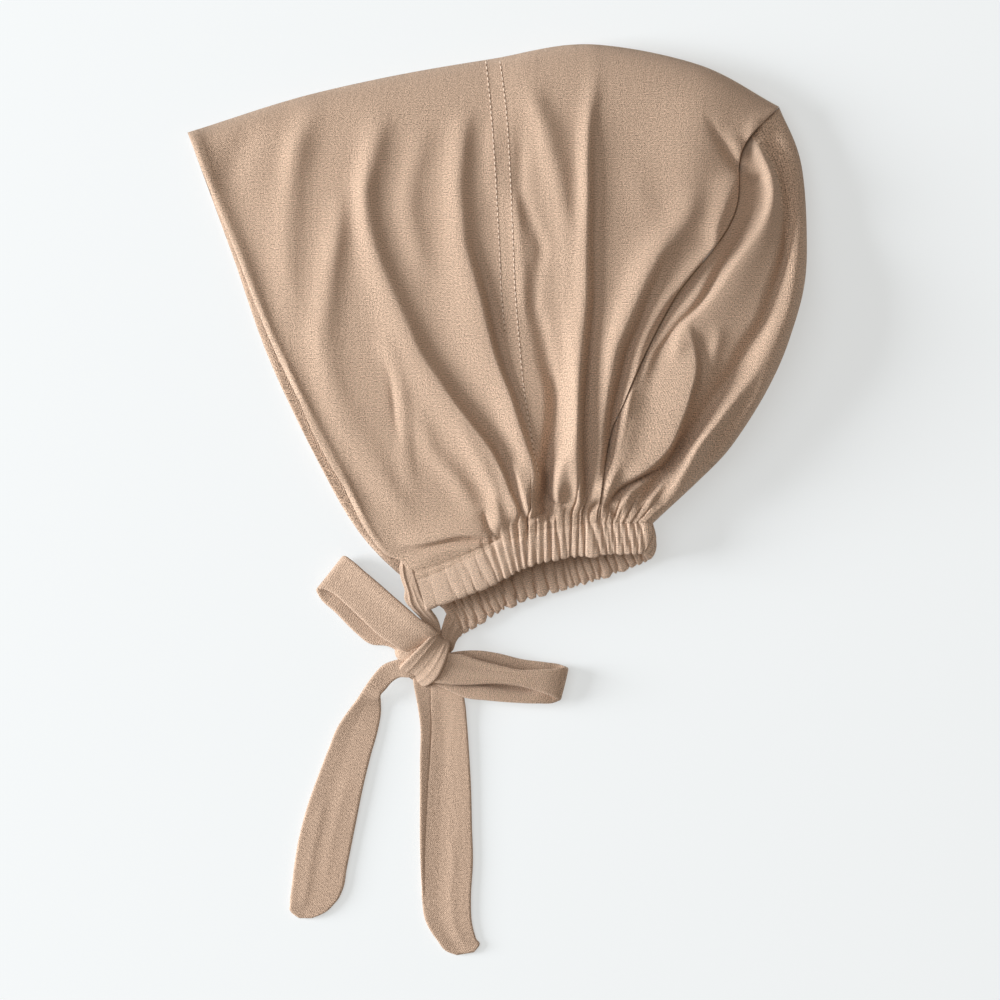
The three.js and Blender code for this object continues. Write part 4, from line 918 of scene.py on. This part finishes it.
def make_back():
    far = np.linspace(1, 0, BACK_FAR_COLUMNS + 1)[1:]
    shares, turns = stations(even_shares(*BACK_FLAT_COLUMNS)[:-1], far)
    flat, t = np.meshgrid(shares, even_shares(*BACK_ROWS))
    angle = np.broadcast_to(turns, t.shape)
    outer = back_side(flat, t, angle, np.zeros_like(t))
    fade = np.maximum(np.cos(angle), 0) * (1 - smoothstep(t, APEX_FADE, 1))
    outer[..., 2] = np.maximum(outer[..., 2] - rim_drop(outer, 0, SEAM_WALL) * fade, 0)
    inner, rows, columns = inner_side(outer, back_side, flat, t, angle, np.full(t.shape, JERSEY_WALL))
    seam_x, seam_y = near_plan(1, t * SEAM_START)
    out_x, out_y = back_outline(t)
    steps = np.stack([BACK_FOLD_REACH * np.sin(BEND), BACK_HALF_RISE * np.cos(BEND)], axis=1)
    across = (flat - 1) * np.where(angle < np.pi, 1, -1) * (out_x - seam_x)
    across = across + np.interp(angle, BEND, running_length(steps))
    uv = np.stack([across * MM, mix(seam_y, out_y, flat) * MM], axis=-1)
    return wall_piece("back_cloth", outer, inner, rows, columns, uv)


# The band: points round it, mm from ring to ring, and length of its cloth let out, as a share of its own
CASING_SIDES = 48
CASING_STEP = 0.36
CASING_UV_SCALE = 1.25
# How square its section is at the edges and on the faces, and how far the ruffles draw in its neck edge
EDGE_ROUND = 0.5
FACE_ROUND = 0.7
DEEPEST_RUFFLE = 2.3
SCALLOP = 0.11
# Its round ends: reach in mm, and share of the thickness left at the tip
END_REACH = 1.5
END_THICK = 0.3


def signed_power(values, power):
    return np.sign(values) * np.abs(values) ** power


def make_casing():
    places = np.linspace(0, 1, int(casing.total / CASING_STEP) + 1)
    angles = 2 * np.pi * np.arange(CASING_SIDES) / CASING_SIDES
    place, angle = np.meshgrid(places, angles, indexing="ij")
    middle, _, width, outward = casing.frame(place)
    side, face = signed_power(np.cos(angle), EDGE_ROUND), signed_power(np.sin(angle), FACE_ROUND)
    across = side * CASING_WIDTH / 2
    depth = np.minimum(ruffle(place * casing.total, across), DEEPEST_RUFFLE)
    scallop = 1 - SCALLOP * depth * np.maximum(side, 0) ** 3
    from_end = np.minimum(place, 1 - place) * casing.total
    ends = mix(END_THICK, 1, np.sqrt(np.clip(1 - (1 - from_end / END_REACH) ** 2, 0, 1)))
    thick = face * (CASING_THICK / 2 - depth) * np.where(from_end > END_REACH, 1, ends)
    points = middle + width * (across * scallop)[..., None] + outward * thick[..., None]
    points = points + casing.bow(place, across)
    points[..., 2] = np.maximum(points[..., 2], 0)
    ids = np.arange(place.size).reshape(place.shape)
    faces = grid_faces(np.concatenate([ids, ids[:, :1]], axis=1))
    faces += [ids[0].tolist()[::-1], ids[-1].tolist()]
    along_cloth = place * casing.total * CASING_UV_SCALE
    uv = np.stack([along_cloth, across * np.where(face < 0, -1, 1)], axis=-1) * MM
    return add_mesh("nape_casing_cloth", points.reshape(-1, 3), faces, uv.reshape(-1, 2))


# Strips of the tie. Rows: left edge x, y, height in mm, right edge x, y, height in mm.
LEFT_LOOP = [
    (440, 634, 9.5, 410, 652, 9.0), (433, 627, 11.4, 402, 650, 10.0), (420, 618, 12.0, 394, 645, 10.0),
    (402, 603, 11.0, 378, 634, 9.0), (385, 588, 9.4, 362, 619, 7.8), (366, 572, 7.6, 346, 604, 6.2),
    (352, 560, 5.6, 331, 592, 4.6), (346, 556, 4.2, 322, 589, 3.6), (345, 556, 3.0, 317, 590, 2.8),
    (349, 559, 1.8, 319, 596, 1.9), (362, 569, 1.4, 336, 613, 2.2), (380, 584, 1.6, 356, 633, 2.8),
    (396, 598, 2.6, 371, 644, 3.8), (410, 610, 4.0, 388, 646, 5.0), (430, 628, 5.5, 404, 656, 6.0),
]
RIGHT_LOOP = [
    (436, 646, 9.0, 424, 680, 8.0), (449, 652, 9.6, 434, 682, 8.8), (463, 654, 9.2, 452, 684, 9.0),
    (482, 660, 8.8, 474, 684, 8.8), (502, 665, 8.6, 498, 683, 8.6), (520, 669, 8.6, 516, 685, 8.2),
    (538, 669, 8.2, 533, 689, 7.6), (554, 668, 7.4, 547, 694, 6.8), (564, 667, 5.8, 556, 698, 5.4),
    (567, 667, 4.0, 559, 700, 4.0), (562, 665, 2.6, 555, 702, 4.4), (545, 662, 2.6, 538, 703, 6.0),
    (522, 659, 3.0, 512, 702, 6.6), (498, 653, 4.2, 488, 700, 6.8), (474, 650, 5.4, 464, 697, 6.4),
    (452, 652, 6.0, 446, 689, 6.0), (440, 656, 6.0, 430, 682, 5.6),
]
LEFT_TAIL = [
    (416, 652, 8.0, 418, 676, 7.4), (405, 657, 8.4, 408, 677, 7.4), (394, 660, 7.6, 400, 677, 6.6),
    (384, 664, 6.8, 393, 681, 5.8), (374, 674, 6.2, 386, 689, 5.4), (364, 688, 5.6, 381, 695, 5.4),
    (357, 699, 3.8, 381, 701, 2.4), (348, 711, 2.4, 381, 713, 1.3), (338, 726, 1.7, 378, 730, 1.2),
    (328, 750, 1.4, 371, 755, 1.4), (318, 776, 1.3, 363, 788, 1.6), (308, 804, 1.3, 357, 818, 1.4),
    (300, 833, 1.3, 352, 843, 1.3), (295, 860, 1.3, 347, 868, 1.3), (292, 884, 1.2, 343, 889, 1.2),
    (290, 903, 1.2, 335, 903, 1.2), (292, 913, 1.1, 322, 914, 1.1), (299, 918, 1.1, 312, 918, 1.1),
]
RIGHT_TAIL = [
    (424, 668, 6.0, 450, 674, 7.0), (430, 682, 4.4, 461, 686, 5.0), (430, 700, 2.6, 465, 702, 3.2),
    (431, 722, 1.4, 467, 722, 2.2), (430, 750, 1.2, 469, 750, 1.9), (427, 785, 1.2, 471, 785, 1.6),
    (425, 825, 1.2, 472, 825, 1.5), (423, 865, 1.2, 473, 862, 1.4), (422, 900, 1.2, 471, 900, 1.4),
    (426, 922, 1.2, 472, 922, 1.3), (437, 940, 1.2, 476, 938, 1.2), (448, 952, 1.1, 479, 946, 1.1),
    (457, 955, 1.1, 474, 952, 1.1),
]
RIGHT_TAIL_EDGE = [
    (412, 670, 6.4, 430, 674, 5.0), (414, 686, 4.6, 432, 688, 3.6), (417, 702, 3.2, 432, 704, 2.0),
    (420, 722, 2.4, 432, 722, 1.2), (420, 760, 2.3, 430, 760, 1.0), (420, 800, 2.2, 428, 800, 0.9),
    (420, 840, 2.0, 426, 840, 0.9), (421, 875, 1.8, 425, 875, 0.9), (423, 905, 1.4, 425, 906, 0.8),
]
# The knot: a round wrapped band, with the ends of the tie that run into it
KNOT_BAND = [
    (438, 629, 3.4, 449, 640, 3.4), (434, 632, 8.4, 450, 645, 8.0), (426, 640, 11.4, 448, 655, 11.0),
    (417, 649, 12.4, 444, 666, 12.0), (407, 659, 11.6, 438, 677, 11.0), (400, 666, 8.8, 430, 684, 8.0),
    (399, 671, 4.0, 423, 686, 3.4),
]
NEAR_STUB = [
    (402, 560, 10.0, 411, 557, 12.0), (400, 567, 11.6, 414, 568, 13.6), (401, 577, 12.2, 418, 582, 14.2),
    (405, 589, 12.4, 422, 594, 14.2), (405, 599, 12.0, 428, 604, 13.2), (411, 607, 10.6, 433, 612, 11.0),
    (421, 618, 8.8, 438, 619, 8.8), (428, 630, 7.2, 441, 630, 7.0), (432, 640, 6.0, 440, 640, 6.0),
]
FAR_STUB = [
    (450, 610, 4.6, 464, 632, 3.0), (446, 615, 5.0, 460, 636, 3.4), (443, 624, 5.0, 456, 642, 3.6),
    (440, 634, 5.0, 453, 650, 3.8), (437, 644, 5.0, 446, 656, 4.0),
]
TUCK = [
    (396, 648, 4.0, 400, 660, 4.0), (398, 648, 7.4, 404, 662, 7.0), (406, 647, 8.8, 409, 664, 8.4),
    (422, 645, 9.0, 420, 664, 8.6),
]

# Pieces of the tie. creases: place across, depth in mm, half width as a share of the width, from and to as
# shares of the length. flat: width and length in metres. filled: share of the flat that is cloth.
TIE_THICK = 1.9
TIE_PIECES = [
    dict(name="left_loop", node="bow_loop_left", rows=LEFT_LOOP, count=150, columns=34,
         creases=[(0.5, -0.7, 0.4, 0, 0.5), (0.2, 0.3, 0.1, 0, 0.35)], flat=(0.022, 0.11)),
    dict(name="right_loop", node="bow_loop_right", rows=RIGHT_LOOP, count=160, columns=34,
         creases=[(0.45, -0.7, 0.35, 0, 0.5), (0.3, 0.4, 0.12, 0.1, 0.4), (0.63, -3.6, 0.11, 0.6, 0.97)],
         flat=(0.018, 0.12)),
    dict(name="left_tail", node="bow_tail_left", rows=LEFT_TAIL, count=170, columns=34,
         creases=[(0.4, -0.5, 0.3, 0.25, 1), (0.3, 0.5, 0.12, 0.62, 0.95), (0.62, 0.3, 0.1, 0.5, 0.85)],
         flat=(0.022, 0.13)),
    dict(name="right_tail", node="bow_tail_right", rows=RIGHT_TAIL, count=150, columns=34, thick=1.4,
         creases=[(0.35, -0.8, 0.3, 0.1, 1), (0.6, 0.4, 0.1, 0.6, 0.95)], flat=(0.022, 0.13)),
    dict(name="right_tail_edge", rows=RIGHT_TAIL_EDGE, count=110, columns=24, thick=1.2,
         flat=(0.01, 0.11), filled=0.5, under="right_tail"),
    dict(name="tie_tuck", rows=TUCK, count=30, columns=20, creases=[(0.5, -0.6, 0.3, 0, 1)],
         flat=(0.01, 0.014)),
    dict(name="knot_band", node="bow_knot", rows=KNOT_BAND, count=60, columns=44, thick=3.2,
         creases=[(0.5, -1.9, 0.45, 0, 1), (0.26, 0.35, 0.035, 0, 1), (0.5, 0.3, 0.03, 0.1, 1),
                  (0.72, 0.35, 0.035, 0.2, 1)], flat=(0.0125, 0.03), under="near_tie_end"),
    dict(name="near_tie_end", node="tie_near", rows=NEAR_STUB, count=70, columns=30, thick=2.4,
         creases=[(0.3, 0.8, 0.06, 0, 0.7), (0.62, 0.5, 0.05, 0.3, 1)],
         flat=(0.01, 0.042), under="nape_casing_cloth"),
    dict(name="far_tie_end", node="tie_far", rows=FAR_STUB, count=40, columns=26, thick=3.0,
         creases=[(0.35, 0.6, 0.05, 0, 1), (0.7, 0.6, 0.05, 0, 1)],
         flat=(0.011, 0.016), under="nape_casing_cloth"),
]
# Rounding of a strip: reach in mm from its sides and from its ends, how far past its last row a tip ends,
# and the share of the thickness left at the rim
SIDE_REACH = 1.3
TIP_REACH = 0.9
TIP_PAST = 0.05
RIM_THICK = 0.12
CREASE_FADE = 0.05
CREASE_POWER = 1.5
LEAST_STEP = 0.4


def round_off(gap, reach):
    return np.sqrt(np.clip(1 - (1 - np.clip(gap / reach, 0, 1)) ** 2, 0, 1))


def strip_piece(row):
    """A flat tie bent through its rows, with creases pressed in."""
    rows, count, columns = np.array(row["rows"], float), row["count"], row["columns"]
    centre = (rows[:, :2] + rows[:, 3:5]) / 2
    rise = np.diff(rows[:, 2] + rows[:, 5]) / 2
    steps = np.hypot(np.hypot(*np.diff(centre, axis=0).T) * UNIT_MM, rise)
    places = np.concatenate([[0], np.cumsum(np.maximum(steps, LEAST_STEP))])
    at = np.linspace(0, places[-1], count)
    table = np.stack([along(places, column, at) for column in rows.T])
    left, right = (np.stack([*to_plan(*edge[:2]), edge[2]], axis=1) for edge in (table[:3], table[3:]))
    even = np.linspace(0, 1, columns)
    across = mix((1 - np.cos(np.pi * even)) / 2, even, 0.5)
    middle = mix(left[:, None], right[:, None], across[None, :, None])
    normal = np.cross(np.gradient(middle, axis=1), np.gradient(middle, axis=0))
    normal /= np.maximum(np.linalg.norm(normal, axis=-1, keepdims=True), 1e-9)
    width = np.linalg.norm(right - left, axis=1)[:, None]
    from_side = np.minimum(across, 1 - across) * width
    from_end = np.minimum(np.arange(count), np.arange(count)[::-1])[:, None] * (places[-1] / count)
    rounded = round_off(from_side, SIDE_REACH) * round_off(from_end + TIP_PAST, TIP_REACH)
    half = row.get("thick", TIE_THICK) / 2 * mix(RIM_THICK, 1, rounded)
    share = at[:, None] / places[-1]
    press = np.zeros(half.shape)
    for place, depth, half_width, start, end in row.get("creases", ()):
        run = smoothstep(share, start - CREASE_FADE, start + CREASE_FADE)
        run = run * (1 - smoothstep(share, end - CREASE_FADE, end + CREASE_FADE))
        press += depth * np.exp(-np.abs((across - place) / half_width) ** CREASE_POWER) * run
    outer = middle + normal * (half - press)[..., None]
    inner = middle - normal * (half + press)[..., None]
    uv = np.stack(np.broadcast_arrays((across - 0.5) * width, at[:, None]), axis=-1) * MM
    return wall_piece(row["name"], outer, inner, list(range(count)), list(range(columns)), uv)


# Materials
JERSEY_GROUP = "jersey_knit"
# The knit: width of a wale and height of a course in metres, how far its wales stand out and how much its
# tone varies
WALE = 0.00105
COURSE = 0.0009
RIBS = 0.42
HEATHER = 0.75
JERSEY_ROUGHNESS = 0.9
# Wander of the wales: fineness and size in metres
WANDER_SCALE = 90
WANDER_SIZE = 0.0012
# Slant of a stitch's legs, shares of the wales and of the stitches in the knit, and its middle level
LEG_SLANT = 1.1
WALE_SHARE = 0.9
STITCH_SHARE = 0.35
KNIT_MIDDLE = 0.57
# Uneven yarn: fineness, stretch along the cloth, and how it tells in tone, height and roughness
YARN_SCALE = 2000
YARN_STRETCH = (1.15, 0.85, 1)
YARN_TONE = 2.6
YARN_HEIGHT = 2.0
YARN_ROUGHNESS = 0.1
# Soft patches of tone: fineness and strength
PATCH_SCALE = 14
PATCH_TONE = 0.12


def fill_inputs(tree, node, inputs):
    """Sets inputs of a node, each to a value or linked to the output of another node."""
    for name, value in dict(inputs).items():
        if isinstance(value, bpy.types.NodeSocket):
            tree.links.new(value, node.inputs[name])
        else:
            node.inputs[name].default_value = value


def add_node(tree, kind, inputs=(), **settings):
    node = tree.nodes.new("ShaderNode" + kind)
    for name, value in settings.items():
        setattr(node, name, value)
    fill_inputs(tree, node, inputs)
    return node.outputs


def jersey_group():
    """Knit jersey: rows of small V stitches, uneven yarn and a soft heather, along the cloth's own UV."""
    group = bpy.data.node_groups.new(JERSEY_GROUP, "ShaderNodeTree")
    for side, kind, label, value in (
            ("INPUT", "Vector", "Cloth", None), ("INPUT", "Color", "Color", (0.55, 0.4, 0.3, 1)),
            ("INPUT", "Float", "Wale", WALE), ("INPUT", "Float", "Course", COURSE),
            ("INPUT", "Float", "Heather", HEATHER), ("INPUT", "Float", "Ribs", RIBS),
            ("OUTPUT", "Color", "Color", None), ("OUTPUT", "Float", "Height", None),
            ("OUTPUT", "Float", "Roughness", None)):
        socket = group.interface.new_socket(name=label, in_out=side, socket_type="NodeSocket" + kind)
        if value is not None:
            socket.default_value = value
    given = group.nodes.new("NodeGroupInput").outputs
    cloth = given["Cloth"]

    def op(kind, *values):
        return add_node(group, "Math", enumerate(values), operation=kind)[0]

    def noise(scale, detail, vector):
        out = add_node(group, "TexNoise", {"Scale": scale, "Detail": detail, "Vector": vector})
        return op("SUBTRACT", out["Fac"], 0.5)

    place = add_node(group, "SeparateXYZ", {0: cloth})
    wander = op("MULTIPLY", noise(WANDER_SCALE, 2, cloth), WANDER_SIZE)
    across = op("DIVIDE", op("ADD", place["X"], wander), given["Wale"])
    upward = op("DIVIDE", place["Y"], given["Course"])
    leg = op("ABSOLUTE", op("SUBTRACT", op("FRACT", across), 0.5))
    ridge = op("SINE", op("MULTIPLY", leg, 2 * np.pi))
    chevron = op("SUBTRACT", upward, op("MULTIPLY", leg, LEG_SLANT))
    stitch = op("SINE", op("MULTIPLY", chevron, 2 * np.pi))
    knit = op("ADD", op("MULTIPLY", ridge, WALE_SHARE), op("MULTIPLY", stitch, STITCH_SHARE))
    grain = add_node(group, "Mapping", {"Vector": cloth, "Scale": YARN_STRETCH})[0]
    uneven = noise(YARN_SCALE, 0, grain)
    weave = op("MULTIPLY", op("SUBTRACT", knit, KNIT_MIDDLE), given["Ribs"])
    tone = op("MULTIPLY", op("ADD", op("MULTIPLY", uneven, YARN_TONE), weave), given["Heather"])
    patch = op("MULTIPLY", noise(PATCH_SCALE, 3, cloth), PATCH_TONE)
    share = op("ADD", op("ADD", tone, patch), 1.0)
    tint = add_node(group, "VectorMath", {0: given["Color"], "Scale": share}, operation="SCALE")
    fill_inputs(group, group.nodes.new("NodeGroupOutput"), {
        "Color": tint[0],
        "Height": op("ADD", knit, op("MULTIPLY", uneven, YARN_HEIGHT)),
        "Roughness": op("ADD", op("MULTIPLY", uneven, YARN_ROUGHNESS), JERSEY_ROUGHNESS),
    })
    return group


def plain_material(name, color, roughness, more=()):
    """A material of one colour. more: other inputs of its shader."""
    material = bpy.data.materials.new(name)
    material.use_nodes = True
    tree = material.node_tree
    inputs = {"Base Color": (*color, 1), "Roughness": roughness, **dict(more)}
    fill_inputs(tree, tree.nodes["Principled BSDF"], inputs)
    return material


def jersey_material(name, color, ribs=RIBS, heather=HEATHER):
    """A matte cotton jersey. ribs: how far its wales stand out. heather: how much its tone varies."""
    material = plain_material(name, color, JERSEY_ROUGHNESS)
    tree = material.node_tree
    uv = add_node(tree, "UVMap", uv_map=CLOTH_UV)
    group = bpy.data.node_groups.get(JERSEY_GROUP) or jersey_group()
    given = {"Cloth": uv["UV"], "Color": (*color, 1), "Ribs": ribs, "Heather": heather}
    knit = add_node(tree, "Group", given, node_tree=group)
    bump = add_node(tree, "Bump", {"Strength": 1.0, "Distance": 0.00016, "Height": knit["Height"]})
    fill_inputs(tree, tree.nodes["Principled BSDF"], {
        "Base Color": knit["Color"], "Roughness": knit["Roughness"], "Normal": bump["Normal"],
        "Specular IOR Level": 0.2, "Sheen Weight": 0.25, "Sheen Roughness": 0.5,
        "Sheen Tint": (1.0, 0.9, 0.8, 1),
    })
    return material


# Twin-needle rows. Rows: x, y.
STITCH_ROWS = [
    [(486, 62), (490, 100), (494, 150), (499, 240), (502, 300), (505, 335)],
    [(500, 62), (506, 110), (510, 170), (513, 240), (515, 290), (519, 340), (524, 390), (530, 430),
     (535, 460), (539, 478)],
]
# Stitches and the dark dots of painted shade between them where the needle went in, in mm, and the height
# in metres that they are dropped from
STITCH_PITCH = 2.6
STITCH_LENGTH = 1.9
STITCH_THICK = 0.75
HOLE_SHADE_LENGTH = 0.8
HOLE_SHADE_THICK = 0.6
STITCH_HEIGHT = 0.5
STITCH_LIFT = 0.08
RAY_START = 0.08
# What a row of stitches leaves free at each end, in mm
ROW_GAP = 1.0


def make_stitches(name, cloth, first, length, thick):
    """Rows of short stitches, or of dark dots of painted shade where the needle went in between them, lying
    on the near layer.
    """
    mesh = cloth.data
    tree = BVHTree.FromPolygons([v.co[:] for v in mesh.vertices], [p.vertices[:] for p in mesh.polygons])
    shell = bmesh.new()
    for rows in STITCH_ROWS:
        line = smooth_line(rows, LINE_POINTS)
        x, y = to_plan(line[:, 0], line[:, 1])
        steps = running_length(np.stack([x, y], axis=1))
        for at in np.arange(first, steps[-1] - ROW_GAP, STITCH_PITCH):
            ends = []
            for place in (at - length / 2, at + length / 2):
                spot = Vector((np.interp(place, steps, x) * MM, np.interp(place, steps, y) * MM, RAY_START))
                ends.append(tree.ray_cast(spot, Vector((0, 0, -1)))[0] + Vector((0, 0, STITCH_LIFT * MM)))
            middle, way = (ends[0] + ends[1]) / 2, ends[1] - ends[0]
            turn = way.to_track_quat("X", "Z")
            for v in bmesh.ops.create_icosphere(shell, subdivisions=1, radius=0.5)["verts"]:
                sized = Vector((v.co.x * way.length, v.co.y * thick * MM, v.co.z * STITCH_HEIGHT * MM))
                v.co = turn @ sized + middle
    mesh = bpy.data.meshes.new(name)
    shell.to_mesh(mesh)
    shell.free()
    return add_object(name, mesh)


def settle(piece, material, slot, *nodes):
    """Gives a piece its material and its body, and hides the CAD parts of the nodes that it stands for."""
    piece.data.materials.append(material)
    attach(piece, "root")
    if nodes:
        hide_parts(*nodes)
    return piece


def clear_selection():
    for item in bpy.context.selected_objects:
        item.select_set(False)


def colour_property(name, description, default):
    return bpy.props.FloatVectorProperty(
        name=name, description=description, subtype="COLOR", default=default, min=0, max=1)


class CapFinish(bpy.types.PropertyGroup):
    """Colours of the cap."""

    jersey: colour_property("Jersey", "Colour of the crown and back", (0.575, 0.405, 0.292))
    casing: colour_property("Casing", "Colour of the ruffled casing", (0.70, 0.505, 0.375))
    tie: colour_property("Tie", "Colour of the tie and bow", (0.595, 0.42, 0.305))
    thread: colour_property("Thread", "Colour of the stitches", (0.76, 0.60, 0.47))
    # Painted shade: the colour of the dark dots that stand in for the shade where the needle went in
    hole_shade: colour_property("Holes", "Colour of the needle holes", (0.2, 0.12, 0.075))


def number_property(name, description, default, unit="NONE"):
    return bpy.props.FloatProperty(name=name, description=description, default=default, unit=unit)


class CapStage(bpy.types.PropertyGroup):
    """Floor, light and camera."""

    floor_size: number_property("Floor", "Side of the floor", 6.0, "LENGTH")
    camera_height: number_property("Camera height", "Camera above the floor", 2.6, "LENGTH")
    view_width: number_property("View width", "Width of floor that the camera takes in", 0.46, "LENGTH")
    low_energy: number_property("Low light", "Power of the low light from the face side", 390.0, "POWER")
    high_energy: number_property("High light", "Power of the high soft light", 62.0, "POWER")
    world_strength: number_property("Fill", "Strength of the even light all round", 0.27)


class OBJECT_OT_cap_crown(bpy.types.Operator):
    """Adds the crown and its twin-needle stitches"""

    bl_idname = "object.cap_crown"
    bl_label = "Crown"

    def execute(self, context):
        clear_selection()
        finish = context.scene.cap_finish
        piece = make_crown()
        settle(piece, jersey_material("crown_jersey", finish.jersey), "jersey", "crown_panel")
        thread = make_stitches("crown_stitches", piece, ROW_GAP, STITCH_LENGTH, STITCH_THICK)
        settle(thread, plain_material("thread", finish.thread, 0.6), "jersey")
        # Dark dots of painted shade between the stitches, standing in for the shade where the needle went
        # in
        hole_shade_dots = make_stitches("needle_hole_shade_dots", piece, ROW_GAP + STITCH_PITCH / 2, HOLE_SHADE_LENGTH, HOLE_SHADE_THICK)
        settle(hole_shade_dots, plain_material("needle_hole_painted_shade", finish.hole_shade, 0.9), "jersey")
        return {"FINISHED"}


class OBJECT_OT_cap_back(bpy.types.Operator):
    """Adds the gathered back panel"""

    bl_idname = "object.cap_back"
    bl_label = "Back panel"

    def execute(self, context):
        clear_selection()
        piece = make_back()
        material = jersey_material("back_jersey", context.scene.cap_finish.jersey)
        settle(piece, material, "jersey", "back_panel")
        return {"FINISHED"}


class OBJECT_OT_cap_casing(bpy.types.Operator):
    """Adds the ruffled elastic casing"""

    bl_idname = "object.cap_casing"
    bl_label = "Casing"

    def execute(self, context):
        clear_selection()
        piece = make_casing()
        material = jersey_material("casing_jersey", context.scene.cap_finish.casing, ribs=1.0, heather=0.6)
        settle(piece, material, "casing_jersey", "nape_casing")
        return {"FINISHED"}


class OBJECT_OT_cap_bow(bpy.types.Operator):
    """Adds the tie: its two short ends, the knot, the loops and the tails"""

    bl_idname = "object.cap_bow"
    bl_label = "Tie and bow"

    def execute(self, context):
        clear_selection()
        material = jersey_material("tie_jersey", context.scene.cap_finish.tie, ribs=0.8, heather=0.5)
        for row in TIE_PIECES:
            nodes = [row["node"]] if "node" in row else []
            piece = settle(strip_piece(row), material, "tie_jersey", *nodes)
        return {"FINISHED"}


# Soft lights: name, place in metres, side in metres
LOW_LIGHT = ("low_light", (-4.75, 0.2, 1.6), 2.0)
HIGH_LIGHT = ("high_light", (-1.8, 0.8, 4.2), 3.0)
LIGHT_COLOUR = (0.95, 0.985, 1.02)
FILL_COLOUR = (1.0, 0.88, 0.76)
FLOOR_COLOUR = (0.445, 0.458, 0.467)
FLOOR_GLOW = (0.97, 1.0, 1.0)
FLOOR_GLOW_STRENGTH = 0.475
FLOOR_LEVEL = -0.0004


def add_light(row, energy):
    name, place, side = row
    bpy.ops.object.light_add(type="AREA", location=place)
    light = bpy.context.object
    light.name = name
    light.data.shape = "SQUARE"
    light.data.size = side
    light.data.energy = energy
    light.data.color = LIGHT_COLOUR
    light.rotation_euler = (-Vector(place)).to_track_quat("-Z", "Y").to_euler()
    light.select_set(False)


class OBJECT_OT_cap_stage(bpy.types.Operator):
    """Adds the floor, the light and the camera above the cap"""

    bl_idname = "object.cap_stage"
    bl_label = "Stage"

    def execute(self, context):
        clear_selection()
        scene = context.scene
        stage = scene.cap_stage
        bpy.ops.mesh.primitive_plane_add(size=stage.floor_size, location=(0, 0, FLOOR_LEVEL))
        floor = bpy.context.object
        floor.name = "floor"
        glow = {"Emission Color": (*FLOOR_GLOW, 1), "Emission Strength": FLOOR_GLOW_STRENGTH}
        floor.data.materials.append(plain_material("pale_floor", FLOOR_COLOUR, 0.95, glow))
        clear_selection()
        add_light(LOW_LIGHT, stage.low_energy)
        add_light(HIGH_LIGHT, stage.high_energy)
        world = bpy.data.worlds.new("studio")
        world.use_nodes = True
        light = world.node_tree.nodes["Background"]
        light.inputs["Color"].default_value = (*FILL_COLOUR, 1)
        light.inputs["Strength"].default_value = stage.world_strength
        scene.world = world
        scene.view_settings.view_transform = "Standard"
        clear_selection()
        x, y = to_plan(CHART_MIDDLE, CHART_MIDDLE)
        bpy.ops.object.camera_add(location=(x * MM, y * MM, stage.camera_height), rotation=(0, 0, 0))
        camera = bpy.context.object
        camera.name = "overhead_camera"
        camera.data.lens = camera.data.sensor_width * stage.camera_height / stage.view_width
        camera.data.clip_end = 20
        scene.camera = camera
        return {"FINISHED"}


class VIEW3D_PT_cap(bpy.types.Panel):
    """Lists the makers of the cap"""

    bl_idname = "VIEW3D_PT_cap"
    bl_label = "Underscarf Cap"
    bl_space_type = "VIEW_3D"
    bl_region_type = "UI"
    bl_category = "Cap"

    def draw(self, context):
        for maker in MAKERS:
            self.layout.operator(maker.bl_idname)
        for group in (context.scene.cap_finish, context.scene.cap_stage):
            for name in group.__annotations__:
                self.layout.prop(group, name)


MAKERS = (OBJECT_OT_cap_stage, OBJECT_OT_cap_casing, OBJECT_OT_cap_crown, OBJECT_OT_cap_back,
          OBJECT_OT_cap_bow)
CLASSES = (CapFinish, CapStage, *MAKERS, VIEW3D_PT_cap)


def register():
    for item in CLASSES:
        bpy.utils.register_class(item)
    bpy.types.Scene.cap_finish = bpy.props.PointerProperty(type=CapFinish)
    bpy.types.Scene.cap_stage = bpy.props.PointerProperty(type=CapStage)


def unregister():
    del bpy.types.Scene.cap_stage
    del bpy.types.Scene.cap_finish
    for item in reversed(CLASSES):
        bpy.utils.unregister_class(item)


def main():
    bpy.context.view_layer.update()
    register()
    bpy.ops.object.cap_stage()
    bpy.ops.object.cap_casing()
    bpy.ops.object.cap_crown()
    bpy.ops.object.cap_back()
    bpy.ops.object.cap_bow()


if __name__ == "__main__":
    main()
